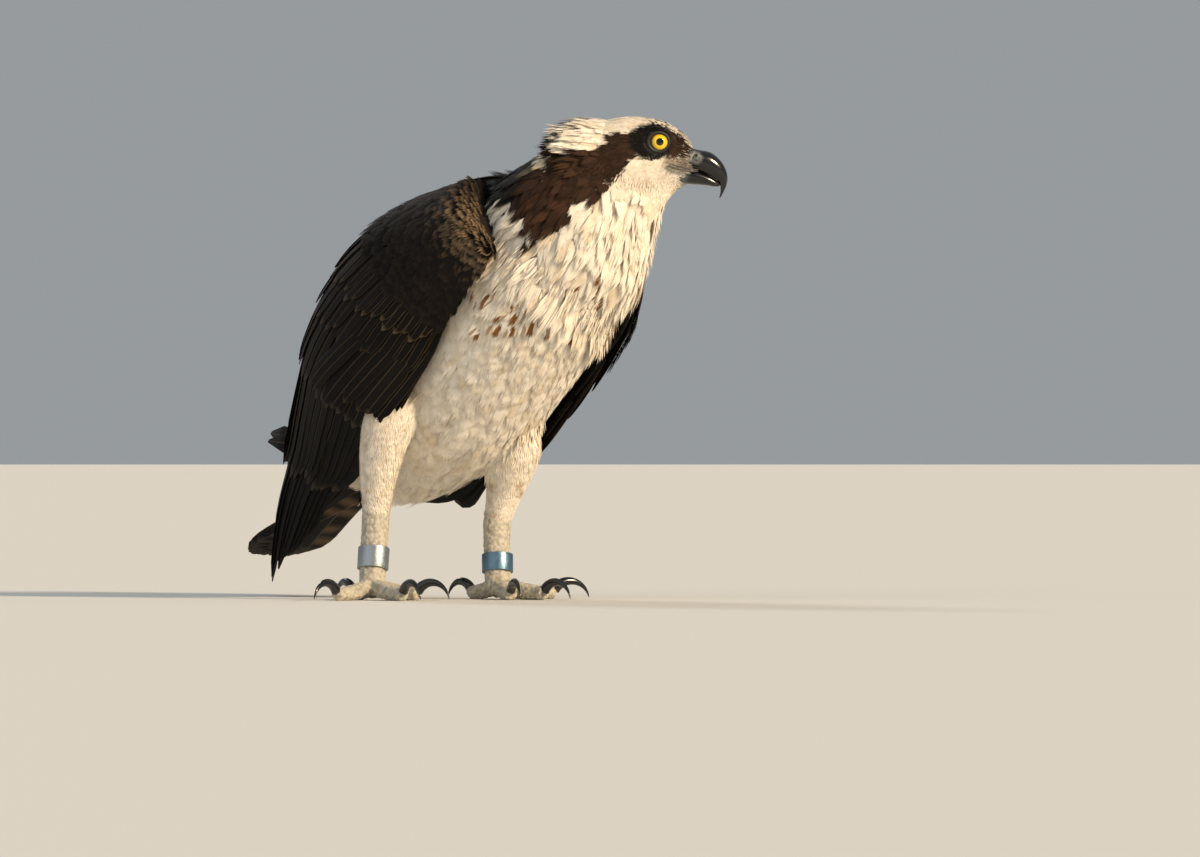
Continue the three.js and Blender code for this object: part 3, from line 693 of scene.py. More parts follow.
def feathers(
    name, roots, outs, ways, unwrap, tints, length, half, lift, sag, barbs, rings=(0, 0.3, 0.6, 0.85),
    mark=None, edge=None, tip=None, blunt=0.14, camber=0.18, seed=0, on_skin=True,
):
    """One mesh of feathers, each a row of tapered barbs.

    Sizes are in millimetres, one value or one each. Marks, edges and tips are strengths from 0 to 1.
    """
    draw = np.random.default_rng(seed)
    count = len(roots)
    sizes = (length, half, lift, sag, blunt, camber)
    length, half, lift, sag, blunt, camber = (
        np.broadcast_to(np.asarray(value, float), (count,))[:, None, None] for value in sizes
    )
    ways = unit(ways - (ways * outs).sum(1, keepdims=True) * outs)
    sides = np.cross(outs, ways)
    across = np.linspace(-1, 1, barbs)[None, :, None] if barbs > 1 else np.zeros((1, 1, 1))
    down = np.array([*rings, 1.0])[None, None, :]
    reach = length * down * (1 - blunt * across**2 + draw.normal(0, 0.045, (count, barbs, 1)))
    spread = half * across * (0.25 + 0.75 * np.sin(np.minimum(down * 2.2, math.pi / 2)))
    spread = spread + draw.normal(0, 0.05, (count, barbs, 1)) * half * down
    height = lift * down - sag * down**2 - camber * half * across**2
    height = height + draw.normal(0, 0.035, (count, barbs, 1)) * down
    height = height - 0.5 * (1 - down)
    if on_skin:
        midway, end = skin_heights(roots, outs, ways, length[:, 0, 0])[..., None, None]
        height = height + (4 * midway - end) * down + (2 * end - 4 * midway) * down**2
    middle = (
        roots[:, None, None]
        + ways[:, None, None] * reach[..., None]
        + sides[:, None, None] * spread[..., None]
        + outs[:, None, None] * height[..., None]
    )
    taper = np.sqrt(np.clip(1 - down**2.4, 0, 1)) * (0.55 + 0.45 * np.minimum(down * 4, 1))
    thick = (half / barbs * BARB_WIDTH) * taper + 0 * reach
    ring = middle[:, :, :-1]
    girth = thick[:, :, :-1, None]
    side_way, out_way = sides[:, None, None], outs[:, None, None]
    ridge = ring + out_way * girth * BARB_HEIGHT
    points = np.stack([ring - side_way * girth, ridge, ring + side_way * girth], 3)
    ring_count = len(rings)
    points = points.reshape(count, barbs, ring_count * 3, 3)
    points = np.concatenate([points, middle[:, :, -1:]], 2)
    per_barb = ring_count * 3 + 1
    quads = [
        (3 * r + a, 3 * r + b, 3 * r + 3 + b, 3 * r + 3 + a)
        for r in range(ring_count - 1)
        for a, b in ((1, 0), (2, 1), (0, 2))
    ]
    last = 3 * (ring_count - 1)
    triangles = [(last + a, last + b, per_barb - 1) for a, b in ((1, 0), (2, 1), (0, 2))] + [(0, 1, 2)]
    shade = np.broadcast_to(tints[:, None, None], (count, barbs, ring_count + 1, 3)).copy()
    # painted shade: each barb is a tenth darker at its root, fading to its own colour at the tip, as if the
    # feathers over it shaded it
    shade *= (0.9 + 0.1 * down)[..., None]
    if mark is not None:
        marked = mark[:, None, None]
        width = np.where(marked > 0.6, 0.1 + 0.5 * down, 0.22)
        share = np.minimum(marked * 1.4, 1) * (np.abs(across) < width) * (down > 0.35)
        shade += (MARK_BROWN - shade) * share[..., None]
    if edge is not None:
        share = edge[:, None, None] * np.maximum(np.abs(across) > 0.8, down > 0.8)
        shade += (PALE_EDGE - shade) * share[..., None]
    if tip is not None:
        share = tip[:, None, None] * (down > 0.7)
        shade += (DARK_BROWN_AND_SHADE - shade) * share[..., None]
    per_point = np.concatenate([np.repeat(shade[:, :, :-1], 3, 2), shade[:, :, -1:]], 2)
    u = unwrap[:, 0, None, None] + PATCH * across / 2 + 0 * down
    v = unwrap[:, 1, None, None] + PATCH * (down - 0.5) + 0 * across
    patch = np.stack([u, v], -1)
    patch = np.concatenate([np.repeat(patch[:, :, :-1], 3, 2), patch[:, :, -1:]], 2).reshape(-1, 2)
    points = points.reshape(-1, 3)
    return mesh_from_pattern(
        name, points, quads, triangles, count * barbs, per_barb, per_point, patch, smooth=False
    )


def mesh_from_pattern(name, points, quads, triangles, copies, per_copy, tints, patch, smooth=True):
    """A mesh of many copies of one pattern of faces, whose points are given in millimetres."""
    starts = (np.arange(copies) * per_copy)[:, None]
    square = (starts[:, :, None] + np.array(quads, int).reshape(1, -1, 4)).reshape(copies, -1)
    corner = (starts[:, :, None] + np.array(triangles, int).reshape(1, -1, 3)).reshape(copies, -1)
    loops = np.concatenate([square, corner], 1).ravel()
    sizes = np.tile(np.array([4] * len(quads) + [3] * len(triangles)), copies)
    mesh = bpy.data.meshes.new(name)
    mesh.vertices.add(len(points))
    mesh.vertices.foreach_set("co", metres(points).astype(np.float32).ravel())
    mesh.loops.add(len(loops))
    mesh.loops.foreach_set("vertex_index", loops.astype(np.int32))
    mesh.polygons.add(len(sizes))
    mesh.polygons.foreach_set("loop_start", np.concatenate([[0], np.cumsum(sizes)[:-1]]).astype(np.int32))
    mesh.update(calc_edges=True)
    mesh.validate()
    layer = mesh.uv_layers.new(name="OFBake")
    layer.data.foreach_set("uv", patch[loops].astype(np.float32).ravel())
    piece = bpy.data.objects.new(name, mesh)
    bpy.context.scene.collection.objects.link(piece)
    set_tint(piece, tints.reshape(-1, 3))
    mesh.materials.append(plumage)
    mesh.polygons.foreach_set("use_smooth", np.full(len(sizes), smooth))
    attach(piece, "root")
    print(name, "triangles", int((sizes - 2).sum()))
    return piece


# %% [markdown]
# The lie of the coat
#
# Feathers point away from the bill: back over the crown, down the neck, along the body to the tail and
# down each leg. Each solid that made the skin pulls the lie its own way, more the nearer it is.

# %% Which way feathers lie
THIGHS = {
    "right": [[-21, -15, 146], [-33, -21, 124], [-39, -17, 98], [-42, -11.5, 70], [-42.5, -10.5, 55]],
    "left": [[46, 10, 128], [54, 16, 108], [50, 22, 86], [44.5, 26, 67], [41, 26, 52]],
}
NECK_TOP, NECK_FOOT = np.array([127.0, -76, 306]), np.array([74.0, -44, 222])


def tree_of(nodes):
    """A search tree over solid nodes."""
    points, faces = [], []
    for node in nodes:
        mesh = frame["nodes"][node].data
        faces += [[v + len(points) for v in face.vertices] for face in mesh.polygons]
        points += [v.co.copy() for v in mesh.vertices]
    return BVHTree.FromPolygons(points, faces)


LIE_PARTS = ("head", "neck", "torso", "thigh_right", "thigh_left", "tail")
part_trees = {name: tree_of([name]) for name in LIE_PARTS}
wing_tree = tree_of(["wing_right", "wing_left"])


def shares_of(points):
    """How much each part of the body counts at each place, nearest most."""
    places = [Vector(place) for place in metres(points)]
    near = [[tree.find_nearest(place)[3] / MM for tree in part_trees.values()] for place in places]
    weights = 1 / (np.array(near) + 2.0) ** 2
    return dict(zip(part_trees, (weights / weights.sum(1, keepdims=True)).T))


def lie(points, shares):
    """The way feathers point at each place, before they are laid on the surface."""
    up = points[:, 2] - EYE_MIDDLE[2]
    low = smooth_step(4, -26, up)
    over_head = np.stack([-1 + 0 * up, 0 * up, -0.12 - 0.75 * low], -1)
    down_neck = unit(NECK_FOOT - NECK_TOP)
    ways = shares["head"][:, None] * unit(over_head) + shares["neck"][:, None] * down_neck
    ways = ways - shares["torso"][:, None] * unit(ALONG + 0.2 * np.array([0, 0, 1]))
    ways = ways + shares["tail"][:, None] * TAIL_WAY
    for name, places in THIGHS.items():
        down_leg = unit(np.array(places[4]) - np.array(places[0]))
        ways = ways + 1.5 * shares[f"thigh_{name}"][:, None] * down_leg
    return unit(ways)


def jittered(ways, outs, points, amount, clump, seed):
    """The same ways, each turned a little at random, and in clumps."""
    turn = np.random.default_rng(seed).normal(0, amount, len(ways)) + clump * drift(points, 22, seed)
    turn = turn[:, None]
    return ways * np.cos(turn) + np.cross(outs, ways) * np.sin(turn)


def uncovered(roots, outs, unwrap, depth):
    """Leaves out the roots that a wing lies close over, within that depth in millimetres."""
    starts = metres(roots + outs * 0.5)
    hits = [
        wing_tree.ray_cast(Vector(start), Vector(out), depth * MM)[0] for start, out in zip(starts, outs)
    ]
    clear = np.array([hit is None for hit in hits])
    return roots[clear], outs[clear], unwrap[clear]


# %% Feathers of the neck and body
skin_surface = Surface(skin)
# Millimetres between the roots of neighbouring feathers
SPACING = {"body": 4.5, "marked": 8.6, "head": 1.15, "bristles": 0.95, "legs": 1.9}


def head_share(points):
    """1 on the head, 0 from the upper neck down."""
    forward, _, up = (points - EYE_MIDDLE).T
    return smooth_step(-44, -30, up + 0.35 * forward)


def clear_of_face(points):
    """True away from the eyes and the bill."""
    forward, _, up = (points - EYE_MIDDLE).T
    off_eye = np.hypot(forward / 1.06, up) > 8.0
    off_bill = forward < 24.5 + 0.25 * (up + 12)
    return off_eye & off_bill


def on_torso(points, outs):
    return (head_share(points) < 0.5) & (points[:, 2] >= 66)


roots, outs, unwrap = uncovered(*skin_surface.roots(SPACING["body"], on_torso, 11), 6.0)
count = len(roots)
shares = shares_of(roots)
legs = np.clip(1.6 * (shares["thigh_right"] + shares["thigh_left"]), 0, 1)
body = to_body(roots)
neck_part = np.clip(shares["neck"] + shares["head"], 0, 1)
vent = smooth_step(-70, -105, body[:, 0]) * smooth_step(10, -20, body[:, 2])
back = smooth_step(30, 46, body[:, 2]) * (1 - neck_part)
bib = 4 * neck_part * (1 - neck_part) * smooth_step(26, -10, body[:, 2]) * smooth_step(55, 80, body[:, 0])
near_head = smooth_step(0.0, 0.5, head_share(roots))
draw = np.random.default_rng(13)
ways = jittered(lie(roots, shares), outs, roots, 0.13, 0.16 + 0.2 * neck_part, 12)
length = 19 + 4 * neck_part - 10.5 * legs + 10 * vent + 9 * back + 11 * bib
length = length * (1 - 0.42 * near_head) * draw.uniform(0.82, 1.18, count)
half = (4.3 - 0.5 * neck_part - 2.2 * legs + 2.2 * back) * draw.uniform(0.8, 1.15, count)
lift = 2.6 + 1.2 * neck_part - 1.2 * legs + 2.5 * vent + 6.5 * bib
lift = lift * (1 - 0.4 * near_head) * draw.uniform(0.75, 1.3, count)
lift = lift + (0.6 + 0.8 * neck_part) * drift(roots, 24, 14)
blunt = 0.26 + 0.2 * neck_part - 0.08 * back
sag = 0.6 + 0.8 * bib
tints = markings(roots + ways * (0.75 * length)[:, None], 14)
regions = {
    "neck_feathers": (88, 300),
    "breast_feathers": (30, 88),
    "belly_feathers": (-32, 30),
    "rump_feathers": (-300, -32),
}
for start, (piece_name, (rear, front)) in enumerate(regions.items()):
    group = (body[:, 0] > rear) & (body[:, 0] <= front) & (legs < 0.9)
    piece = feathers(
        piece_name, roots[group], outs[group], ways[group], unwrap[group], tints[group], length[group],
        half[group], lift[group], sag[group], 11, rings=(0, 0.4, 0.75), blunt=blunt[group], seed=20 + start,
    )

# %% Marked feathers of the breast
def in_band(points, outs):
    forward, _, up = (points - EYE_MIDDLE).T
    rear, front, low, high = DROP_MARKS
    return (forward > rear) & (forward < front) & (up > low) & (up < high) & (to_body(points)[:, 2] < 10)


for strength, piece_name, seed in ((1.0, "drop_marks", 71), (0.5, "shaft_streaks", 73)):
    roots, outs, unwrap = uncovered(*skin_surface.roots(SPACING["marked"], in_band, seed), 12.0)
    count = len(roots)
    draw = np.random.default_rng(seed)
    shares = shares_of(roots)
    neck_part = np.clip(shares["neck"] + shares["head"], 0, 1)
    ways = jittered(lie(roots, shares), outs, roots, 0.2, 0.2, seed)
    length = draw.uniform(15, 21, count)
    half = draw.uniform(3.2, 4.2, count)
    lift = 3.4 + 1.2 * neck_part + draw.uniform(0, 0.8, count)
    piece = feathers(
        piece_name, roots, outs, ways, unwrap, markings(roots, seed), length, half, lift, 0.6, 11,
        rings=(0, 0.2, 0.4, 0.6, 0.8), blunt=0.36, mark=np.full(count, strength), seed=seed + 1,
    )

# %% Feathers of the head
def on_head_skin(points, outs):
    return (head_share(points) >= 0.35) & clear_of_face(points)


roots, outs, unwrap = skin_surface.roots(SPACING["head"], on_head_skin, 31)
shares = shares_of(roots)
forward = roots[:, 0] - EYE_MIDDLE[0]
back = smooth_step(25, -45, forward)
near_neck = smooth_step(0.9, 0.4, head_share(roots))
by_eye = smooth_step(15, 9, np.hypot(forward, roots[:, 2] - EYE_MIDDLE[2]))
length = (5.2 + 5.8 * back + 4.5 * near_neck) * (1 - 0.45 * by_eye)
ways = jittered(lie(roots, shares), outs, roots, 0.14, 0.12, 32)
piece = feathers(
    "head_feathers", roots, outs, ways, unwrap, markings(roots, 33), length,
    0.85 + 0.6 * back, 0.8 + 0.9 * back, 0.3 + 0.3 * back, 4, rings=(0, 0.5), blunt=0.3, seed=34,
)

# %% Bristles at the root of the bill
def by_bill(points, outs):
    forward, _, up = (points - EYE_MIDDLE).T
    return (forward > 11) & (forward < 25 + 0.2 * (up + 12)) & (up > -33) & clear_of_face(points)


roots, outs, unwrap = skin_surface.roots(SPACING["bristles"], by_bill, 91)
draw = np.random.default_rng(92)
ways = np.array([1, 0, -0.25]) + 0.12 * outs + draw.normal(0, 0.16, (len(roots), 3))
tints = markings(roots, 93) * draw.uniform(0.5, 1.0, (len(roots), 1))
length = draw.uniform(4.0, 7.5, len(roots))
lift = draw.uniform(0.8, 1.6, len(roots))
piece = feathers(
    "bill_bristles", roots, outs, ways, unwrap, tints, length, 0.24, lift, 0.2, 1, rings=(0, 0.5), seed=94,
    on_skin=False,
)

# %% Feathers of the legs
def on_legs(points, outs):
    return points[:, 2] < 150


roots, outs, unwrap = skin_surface.roots(SPACING["legs"], on_legs, 41)
shares = shares_of(roots)
legs = shares["thigh_right"] + shares["thigh_left"]
chosen = legs > 0.5
roots, outs, unwrap = roots[chosen], outs[chosen], unwrap[chosen]
shares = {name: share[chosen] for name, share in shares.items()}
tints = markings(roots, 43)
spots = smooth_step(0.75, 1.2, drift(roots, 13, 44) + 0.35 * smooth_step(95, 70, roots[:, 2]))[:, None]
tints = tints + (TAN - tints) * spots * np.random.default_rng(44).uniform(0.3, 0.9, (len(roots), 1))
ways = jittered(lie(roots, shares), outs, roots, 0.1, 0.08, 42)
up_leg = smooth_step(60, 110, roots[:, 2])
piece = feathers(
    "leg_feathers", roots, outs, ways, unwrap, tints, 5.6 + 6 * up_leg, 1.7, 0.7 + 0.9 * up_leg, 0.2, 4,
    rings=(0, 0.5), camber=0.1, seed=45,
)

# %% [markdown]
# Crest
#
# The feathers of the nape are long and narrow and stand up ruffled, the upper ones dark at the tip. They
# grow round the back of the head and sweep back, so they are rooted on an oval there.

# %% Crest
def unwrap_at(points):
    """The skin's unwrap nearest to places in millimetres."""
    unwrap = skin.data.uv_layers["OFBake"].data
    faces = [skin_tree.find_nearest(Vector(place))[2] for place in metres(points)]
    return np.array([list(unwrap[skin.data.polygons[face].loop_start].uv) for face in faces])


CREST_MIDDLE = on_head(-38, 0, -9)
CREST_RADII = np.array([21, 24, 27.5])
CREST_COUNT = 620
draw = np.random.default_rng(51)
rear = np.radians(draw.uniform(14, 124, CREST_COUNT))
round_head = np.radians(draw.uniform(-112, 112, CREST_COUNT))
outward = np.stack([-np.cos(rear), np.sin(rear) * np.sin(round_head), np.sin(rear) * np.cos(round_head)], -1)
crest_roots = CREST_MIDDLE + outward * CREST_RADII * 0.93
crest_ways = np.array([-1, 0, -0.1]) + outward * [0.1, 0.24, 0.1] + draw.normal(0, 0.06, (CREST_COUNT, 3))
crest_ways = unit(crest_ways + [0, 0, -0.5] * smooth_step(6, -24, outward[:, 2:] * 25))
crest_outs = outward - (outward * crest_ways).sum(1, keepdims=True) * crest_ways
crest_outs = unit(crest_outs + np.array([0, 0, 0.05]))
crest_unwrap = unwrap_at(crest_roots)
to_front = smooth_step(55, 120, np.degrees(rear))
high_up = smooth_step(-10, 4, crest_roots[:, 2] - EYE_MIDDLE[2])
tip = (draw.random(CREST_COUNT) < 0.34) * high_up * (to_front < 0.15)
crest_length = draw.uniform(17, 29, CREST_COUNT) * (1 - 0.5 * to_front)
crest_half = draw.uniform(2.2, 3.4, CREST_COUNT) * (1 - 0.5 * to_front)
crest_lift = draw.uniform(0.4, 2.4, CREST_COUNT)
piece = feathers(
    "crest", crest_roots, crest_outs, crest_ways, crest_unwrap, markings(crest_roots, 52), crest_length,
    crest_half, crest_lift, 1.3, 7, rings=(0, 0.3, 0.6, 0.82), tip=tip, blunt=0.4, seed=53, on_skin=False,
)

# %% [markdown]
# Wings
#
# A folded wing is a shell of stacked tiers: long primaries and secondaries at the bottom, greater, median
# and lesser coverts over their roots, and scapulars along the back. Each feather follows one surface that
# is given by the same rows of places as the solid wing, and lies a little over the next one. In front the
# surface curls in to the breast, so that no gap is left beside the neck.

# %% The wing's surface
RIGHT_WING_ROWS = [
    [[110, 112, 64], [110, 85, 70], [108, 52, 70], [102, 18, 65]],
    [[85, 114, 69], [82, 85, 81], [78, 52, 91], [72, 14, 84]],
    [[45, 117, 70], [38, 85, 89], [30, 52, 109], [24, 10, 93]],
    [[5, 120, 71], [-8, 85, 92], [-22, 52, 112], [-30, 8, 94]],
    [[-45, 120, 71], [-56, 85, 88], [-68, 52, 105], [-72, 10, 86]],
    [[-85, 117, 62], [-98, 85, 75], [-112, 52, 90], [-112, 20, 74]],
    [[-125, 110, 51], [-140, 85, 61], [-152, 55, 74], [-145, 32, 64]],
    [[-175, 104, 43], [-190, 88, 49], [-198, 68, 57], [-190, 55, 58]],
    [[-236, 96, 32], [-249, 88, 31], [-253, 80, 32], [-247, 74, 34]],
]
LEFT_WING_ROWS = [
    [[116, 118, 64], [112, 88, 67], [106, 52, 70], [102, 18, 74]],
    [[88, 124, 74], [84, 88, 79], [76, 52, 88], [72, 14, 92]],
    [[48, 126, 75], [40, 88, 83], [30, 50, 97], [24, 10, 98]],
    [[0, 126, 72], [-8, 88, 84], [-18, 48, 101], [-28, 8, 98]],
    [[-45, 122, 67], [-55, 80, 82], [-64, 42, 99], [-70, 8, 97]],
    [[-95, 110, 56], [-105, 70, 78], [-110, 36, 98], [-112, 8, 99]],
    [[-142, 84, 63], [-152, 50, 88], [-157, 26, 108], [-154, 6, 110]],
    [[-202, 44, 99], [-212, 28, 118], [-217, 16, 130], [-215, 7, 132]],
    [[-262, 7, 138.5], [-270, 4.1, 151.8], [-272, 5.6, 175.2], [-266, 8, 194.4]],
]
LAST_ROW = 8
# how far the front edge curls in to the breast, from its lower to its upper edge, and forward
CURLS = {-1: ([6, 20, 22, 6], [-6, -1, -12, -8]), 1: ([14, 26, 26, 8], [-16, -16, -16, -10])}
ROW_STEPS, ACROSS_STEPS = 160, 40


class WingSurface:
    """The outer surface of a wing, read at a row from -1, its curled front, and a part across it."""

    def __init__(self, side, rows):
        self.side = side
        rows = np.array(rows, float)
        turn = np.radians(rows[..., 1])
        knots = on_body(rows[..., 0], side * rows[..., 2] * np.sin(turn), rows[..., 2] * np.cos(turn))
        inward, ahead = (np.array(value, float)[:, None] for value in CURLS[side])
        curl = knots[0] - side * inward * LEFT + ahead * ALONG
        knots = np.concatenate([curl[None], knots])
        columns = spline(knots, np.linspace(0, 1, ROW_STEPS + 1))
        grid = spline(columns.transpose(1, 0, 2), np.linspace(0, 1, ACROSS_STEPS + 1))
        self.grid = grid.transpose(1, 0, 2)
        down = np.gradient(self.grid, axis=0)
        over = np.gradient(self.grid, axis=1)
        self.downs, self.overs = unit(down), unit(over)
        self.outs = unit(np.cross(over, down) * -side)

    def read(self, grid, row, across):
        r = np.clip((np.asarray(row, float) + 1) / (LAST_ROW + 1), 0, 1) * ROW_STEPS
        c = np.clip(np.asarray(across, float), 0, 1) * ACROSS_STEPS
        r0, c0 = np.minimum(r.astype(int), ROW_STEPS - 1), np.minimum(c.astype(int), ACROSS_STEPS - 1)
        fr, fc = (r - r0)[..., None], (c - c0)[..., None]
        near = grid[r0, c0] * (1 - fc) + grid[r0, c0 + 1] * fc
        far = grid[r0 + 1, c0] * (1 - fc) + grid[r0 + 1, c0 + 1] * fc
        return near * (1 - fr) + far * fr

    def at(self, row, across, lift=0.0):
        out = unit(self.read(self.outs, row, across))
        place = self.read(self.grid, row, across) + out * np.asarray(lift, float)[..., None]
        return place, unit(self.read(self.downs, row, across)), unit(self.read(self.overs, row, across)), out


# %% Vanes
VANE_COLUMNS = np.array([-1, -0.88, -0.6, -0.3, -0.08, 0, 0.08, 0.3, 0.6, 0.88, 1.0])
VANE_STEPS = 18
VANE_THICKNESS = 0.55


def vane_outline(parts, root=0.5, tip=0.12):
    """Half width along a large feather: narrow root, even middle, rounded tip."""
    widening = root + (1 - root) * smooth_step(0, 0.3, parts)
    rounding = np.sqrt(np.clip(1 - np.clip((parts - 0.8) / 0.2, 0, 1) ** 2 * (1 - tip**2), 0, 1))
    return widening * rounding


def vane_mesh(name, paths, halves, tints, edges, bars, seed, slant=0.0, worn=0.3):
    """Large feathers as closed thin vanes. paths has places, side ways and out ways for each feather."""
    draw = np.random.default_rng(seed)
    places, sides, outs = (np.stack(value) for value in zip(*paths))
    count, steps = places.shape[:2]
    parts = np.linspace(0, 1, steps)
    columns = VANE_COLUMNS
    half = np.asarray(halves, float)[:, None] * vane_outline(parts)[None]
    along = parts[None, :, None]
    worn_spots = draw.random((count, steps, 2)) < 0.07
    notch = 1 - worn * worn_spots * draw.random((count, steps, 2)) * (along > 0.35)
    reach = np.where(columns[None, None] < 0, notch[..., :1], notch[..., 1:])
    offset = columns[None, None] * half[..., None] * np.where(np.abs(columns) > 0.8, reach, 1)
    shaft = (np.abs(columns) < 0.04) * 0.45
    rise = shaft[None, None] * (1.05 - along) - 0.05 * np.abs(columns) ** 1.5 * half[..., None]
    wave = 0.12 * np.sin(columns * 9 + draw.uniform(0, 6, (count, 1, 1)) + along * 14) * np.abs(columns)
    thickness = VANE_THICKNESS * (1 - 0.6 * np.abs(columns)) * (1 - 0.5 * parts[:, None])
    height = (rise + wave + thickness / 2)[..., None]
    top = places[:, :, None] + sides[:, :, None] * offset[..., None] + outs[:, :, None] * height
    bottom = top - outs[:, :, None] * np.broadcast_to(thickness, (count, steps, len(columns)))[..., None]
    width = len(columns)
    points = np.stack([top, bottom], 1).reshape(count, -1, 3)
    layer = steps * width
    quads = []
    for step in range(steps - 1):
        for column in range(width - 1):
            a = step * width + column
            quads.append((a, a + 1, a + 1 + width, a + width))
            quads.append((layer + a + width, layer + a + width + 1, layer + a + 1, layer + a))
        for a, b in ((step * width, (step + 1) * width), ((step + 2) * width - 1, (step + 1) * width - 1)):
            quads.append((a, b, layer + b, layer + a))
    for column in range(width - 1):
        quads.append((column + 1, column, layer + column, layer + column + 1))
        a = (steps - 1) * width + column
        quads.append((a, a + 1, layer + a + 1, layer + a))
    bars = np.asarray(bars, float)[:, None, None]
    bar = 0.5 + 0.5 * np.sin((along * bars + slant * np.abs(columns)) * 2 * math.pi)
    shade = np.broadcast_to(np.asarray(tints)[:, None, None], (count, steps, width, 3)).copy()
    barred = (bars > 0) * smooth_step(0.62, 0.8, bar) * (columns > 0.05) * 0.3
    shade += (PALE_EDGE - shade) * barred[..., None]
    rim = np.maximum(np.abs(columns)[None, None] > 0.95, along > 0.97)
    shade += (PALE_EDGE - shade) * (rim * np.asarray(edges, float)[:, None, None])[..., None]
    shade += (PALE_EDGE * 0.6 - shade) * ((np.abs(columns) < 0.04)[None, None] * 0.35)[..., None]
    both = np.stack([shade, shade * 1.25], 1).reshape(count, -1, 3)
    wide = int(math.ceil(math.sqrt(count)))
    cell = 1 / wide
    number = np.arange(count)[:, None, None, None]
    u = number % wide * cell + cell * (0.05 + 0.42 * (columns + 1) / 2)
    u = u + np.array([0, 0.5 * cell])[None, :, None, None]
    v = number // wide * cell + cell * (0.05 + 0.9 * parts)[:, None]
    patch = np.stack(np.broadcast_arrays(u, v), -1).reshape(-1, 2)
    return mesh_from_pattern(name, points.reshape(-1, 3), quads, [], count, 2 * layer, both, patch)


# %% Tiers of the wings
# For each tier: rows of the first and the last root, and of their tips; the parts across the wing, at the
# root and at the tip, of the first feather and of the last; count, half width, height at the tip, colour,
# and how pale the edge is
TIER_KEYS = ("root", "tip", "first", "last", "count", "half", "lift", "tint", "edge")
# The wings' tints are near-black browns that carry painted shade over the feathers' own dark brown
TIER_ROWS = (
    ((3.4, 3.6), (7.3, 8), (0.1, 0.14), (0.4, 0.75), 10, 8, 1.0, FLIGHT_BROWN_AND_SHADE, 0.04),
    ((2.8, 3.2), (6.2, 6.3), (0.02, 0.0), (0.92, 0.95), 20, 7.6, 2.6, FLIGHT_BROWN_AND_SHADE, 0.07),
    ((1.9, 2.1), (4.45, 4.5), (0.03, 0.0), (0.8, 0.84), 20, 6.6, 4.2, DARK_BROWN_AND_SHADE, 0.1),
    ((1.7, 2), (4.6, 5.6), (0.78, 0.78), (0.96, 0.96), 6, 9.5, 5.0, FLIGHT_BROWN_AND_SHADE, 0.12),
    ((1.3, 1.5), (3.2, 3.55), (0.08, 0.07), (0.8, 0.82), 20, 5.8, 4.8, DARK_BROWN_AND_SHADE, 0.16),
    ((0.8, 1.0), (2.55, 2.95), (0.08, 0.07), (0.78, 0.8), 20, 5.4, 5.2, DARK_BROWN_AND_SHADE * 1.1, 0.3),
    ((0.8, 0.8), (2.4, 3.1), (0.82, 0.81), (0.97, 0.97), 6, 7.5, 5.5, DARK_BROWN_AND_SHADE, 0.15),
)
WING_TIERS = [dict(zip(TIER_KEYS, values)) for values in TIER_ROWS]
ELBOW_TIER = dict(
    zip(TIER_KEYS, ((2.5, 2.5), (3.95, 4.35), (0.01, 0.02), (0.3, 0.4), 8, 6.2, 12.0, DARK_BROWN_AND_SHADE, 0.1))
)
LEFT_TIP_CHANGES = {"tip": (7.5, 8), "first": (0.1, 0.12), "last": (0.4, 0.88), "count": 7, "half": 10.5}
LEFT_TIP_TIER = {**WING_TIERS[0], **LEFT_TIP_CHANGES}
ROOT_SUNK = 2.4
# how far in from the wing's edge each series is rooted, how many rows its tips lie behind, the part across
# the wing at the tip, and the height there
SCAPULAR_SERIES = ((7, 1.3, 0.86, 6.4), (15, 1.0, 0.99, 6.0))
SCAPULARS, SCAPULAR_HALF = 15, 7.5


def scapulars(surface, side, draw):
    """Paths of the long feathers that bridge from the back over a wing's inner edge."""
    for series, (inward, ahead, across, lift) in enumerate(SCAPULAR_SERIES):
        for i in range(SCAPULARS):
            row = 0.02 + 0.27 * i + 0.13 * series
            edge_place = surface.at(row, 1.0)[0]
            seat = metres(edge_place - LEFT * side * inward)
            hit, normal = skin_tree.find_nearest(Vector(seat))[:2]
            root = (np.array(hit) - SHIFT) / MM
            tip, _, _, out = surface.at(row + ahead + draw.uniform(-0.1, 0.1), across, lift)
            parts = np.linspace(0, 1, VANE_STEPS)[:, None]
            outs = unit(np.array(normal) * (1 - parts) + out * parts)
            place = root * (1 - parts) + tip * parts + outs * 3.5 * np.sin(parts * math.pi)
            place = place + outs * draw.uniform(-0.3, 0.6)
            way = unit(tip - root)
            yield place, unit(np.cross(outs, way)), outs


def between(pair, share):
    """A value on the way from the first to the second."""
    return pair[0] + (pair[1] - pair[0]) * share


